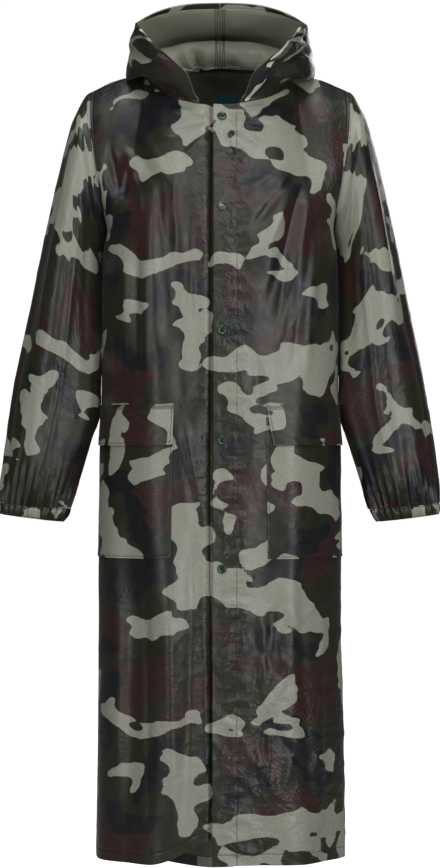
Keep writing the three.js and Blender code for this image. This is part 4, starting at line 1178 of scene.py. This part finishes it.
def add_overlay(side, kind):
    """A pocket or a flap, on the front's surface."""
    name, (low, high) = NAMES[side], OVERLAY_HEIGHTS[kind]
    wide, tall = CUT["pocket"][0], high - low
    columns = even_columns(*OVERLAY_COLUMNS, OVERLAY_CELL)
    heights = np.linspace(low, high, int(tall / 3.2))
    grid, ways, _ = front_surface(side, columns, (heights - ARMPIT_Z) / (ARMPIT_Z - HEM_FRONT_Z))
    s, t = np.linspace(0, 1, len(columns))[None, :], ((heights - low) / tall)[:, None]
    if side == LEFT and kind == "flap":
        grid, ways = slanted(grid, s[0], t[:, 0]), unit(slanted(ways, s[0], t[:, 0]))
    edge_off = np.minimum(np.minimum(s, 1 - s) * wide, np.minimum(t, 1 - t) * tall)
    x, z = grid[..., 0], grid[..., 2]
    stand = overlay_lift(side, kind, s, t, wide, tall) + puckers(x + z, edge_off - THREAD_IN, 5, 0.35, 6)
    outer = grid - ways * (stand + CLOTH)[..., None]
    girth = np.broadcast_to(side * girth_at(columns), outer.shape[:2])
    top_rows = [] if kind == "pocket" else [abs((1 - t) * tall + 0 * s - 5) - 2.5]
    fields = print_fields(kind, side, girth, z, stitching(edge_off - THREAD_IN, *top_rows))
    uv = uv_of(girth, z)
    add_cloth(f"{kind}_{name}", outer, ways * CLOTH, uv, fields, BODY_BACKING_PAINTED_SHADE, kind)


def place_on_front(level):
    """The point and way in on the left front at a snap."""
    v = np.linspace(0.01, 1, 400)
    if level < ARMPIT_Z:
        v = (level - ARMPIT_Z) / (ARMPIT_Z - HEM_FRONT_Z) + np.array([-0.002, 0, 0.002])
    grid, ways, _ = front_surface(LEFT, np.linspace(6, -3, 91), v)
    error = np.hypot(grid[..., 0] - SNAP_X, grid[..., 2] - level)
    place = np.unravel_index(np.argmin(error), error.shape)
    return grid[place], ways[place]


SNAP_BOTTOM, SNAP_TOP, SNAP_SINK, SNAP_SIDES = -0.2, 2.05, 0.3, 56
SNAP_PROFILE = [  # radius, height
    (7.2, -0.2), (7.4, 0.4), (7.35, 1.1), (6.9, 1.9), (6.1, 2.35), (5.2, 2.3), (4.6, 1.95),
    (3.6, 1.85), (2.0, 2.0), (0.6, 2.05),
]


def add_snap(number, level):
    point, way = place_on_front(level)
    across = unit(np.cross(way, [0, 0, 1]))
    m = np.arange(SNAP_SIDES)
    turn = (m / SNAP_SIDES * 2 * np.pi)[:, None]
    circle = np.cos(turn) * across + np.sin(turn) * np.cross(across, way)
    base = point - way * SNAP_SINK
    points = [base + circle * radius - way * height for radius, height in SNAP_PROFILE]
    points = np.concatenate([*points, [base - way * SNAP_BOTTOM, base - way * SNAP_TOP]]) * MM
    n = (m + 1) % SNAP_SIDES
    faces = []
    for ring in range(len(SNAP_PROFILE) - 1):
        low, high = ring * SNAP_SIDES, (ring + 1) * SNAP_SIDES
        faces += np.stack([low + m, low + n, high + n, high + m], axis=1).tolist()
    last = len(points) - 1
    faces += np.stack([0 * m + last - 1, n, m], axis=1).tolist()
    faces += np.stack([0 * m + last, high + m, high + n], axis=1).tolist()
    mesh = bpy.data.meshes.new(f"snap_cap_{number}")
    mesh.from_pydata(points.tolist(), [], faces)
    mesh.materials.append(ENAMEL)
    smooth(mesh, 60)
    cap = show(f"snap_cap_{number}", mesh)
    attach(cap, "root")
    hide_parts(f"snap_{number}")


def add_label():
    low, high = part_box("neck_label")
    x, z = np.meshgrid(np.linspace(low[0], high[0], 22) / MM, np.linspace(low[2], high[2], 26) / MM)
    slope = 0.78 * (high[1] - low[1]) / (high[2] - low[2])
    y = (low[1] + high[1]) / 2 / MM - slope * (z - z.mean()) - 0.4 + 0.25 * SOFT(x / 9, z / 9)
    inner = np.broadcast_to([0.0, 0.6, 0.0], x.shape + (3,))
    piece = shell("woven_label", vector(x, y, z), inner, False, uv_of(x, z), {}, [LABEL, LABEL])
    settle(piece, "neck_label", "label")


add_back()
for a_side in (LEFT, RIGHT):
    add_front(a_side)
    add_sleeve(a_side)
    add_cuff(a_side)
    add_hood(a_side)
    add_hood_hem(a_side)
    add_overlay(a_side, "pocket")
    add_overlay(a_side, "flap")
for index, height in enumerate(SNAP_LEVELS):
    add_snap(index + 1, height)
add_label()

# ---------------------------------------------------------------- studio


def add_floor():
    """A plain white floor, flat and wide, which lights the coat only softly."""
    n = Nodes("studio_white")
    seen = n.node("ShaderNodeLightPath").outputs["Is Camera Ray"]
    n.look(Base_Color=(0.4, 0.4, 0.4, 1), Roughness=0.9, Emission_Color=(1, 1, 1, 1), Emission_Strength=seen)
    mesh = bpy.data.meshes.new("studio_floor")
    corners = [(x * FLOOR_REACH, y * FLOOR_REACH, FLOOR_Z) for x, y in ((-1, -1), (1, -1), (1, 1), (-1, 1))]
    mesh.from_pydata(corners, [], [(0, 1, 2, 3)])
    mesh.materials.append(n.material)
    show("studio_floor", mesh)


def add_light(name, place, target, size, power):
    data = bpy.data.lights.new(name, "AREA")
    data.shape = "RECTANGLE"
    data.size, data.size_y = size
    data.energy = power
    lamp = show(name, data)
    lamp.location = place
    lamp.rotation_euler = (Vector(target) - Vector(place)).to_track_quat("-Z", "Y").to_euler()


def add_world(seen, soft):
    """White behind the coat, and a softer light on it."""
    world = bpy.data.worlds.new("studio")
    world.use_nodes = True
    tree = world.node_tree
    background = tree.nodes["Background"]
    background.inputs["Color"].default_value = (1, 1, 1, 1)
    path = tree.nodes.new("ShaderNodeLightPath")
    strength = tree.nodes.new("ShaderNodeMapRange")
    strength.inputs["To Min"].default_value = soft
    strength.inputs["To Max"].default_value = seen
    tree.links.new(path.outputs["Is Camera Ray"], strength.inputs["Value"])
    tree.links.new(strength.outputs["Result"], background.inputs["Strength"])
    bpy.context.scene.world = world


def add_camera(place, lens):
    """Level, looking along +Y as in the photo."""
    data = bpy.data.cameras.new("photo_camera")
    data.lens, data.sensor_width, data.clip_end = lens, 36, 60
    camera = show("photo_camera", data)
    camera.location = place
    camera.rotation_euler = (math.radians(90), 0, 0)
    bpy.context.scene.camera = camera
    bpy.context.scene.view_settings.view_transform = "Standard"
    bpy.context.scene.view_settings.look = "None"


FLOOR_REACH, FLOOR_Z = 40.0, -1.45
LIGHTS = [  # name, place, target, size, power
    ("key_left", (-1.8, -3.3, 0.2), (0, 0, -0.7), (0.9, 3.0), 35),
    ("key_right", (1.9, -3.2, 0.1), (0, 0, -0.7), (0.9, 3.0), 45),
    ("front", (0.3, -3.6, 2.1), (0, 0, -0.4), (1.6, 0.8), 30),
    ("top", (0, -0.5, 2.6), (0, 0, -0.3), (2.2, 1.2), 36),
    ("behind", (0.6, 3.4, 0.9), (0, 0, -0.5), (2.4, 2.4), 70),
]

add_floor()
for light in LIGHTS:
    add_light(*light)
add_world(seen=1.05, soft=0.06)
add_camera(place=(0, -4.8, -0.558), lens=124.4)
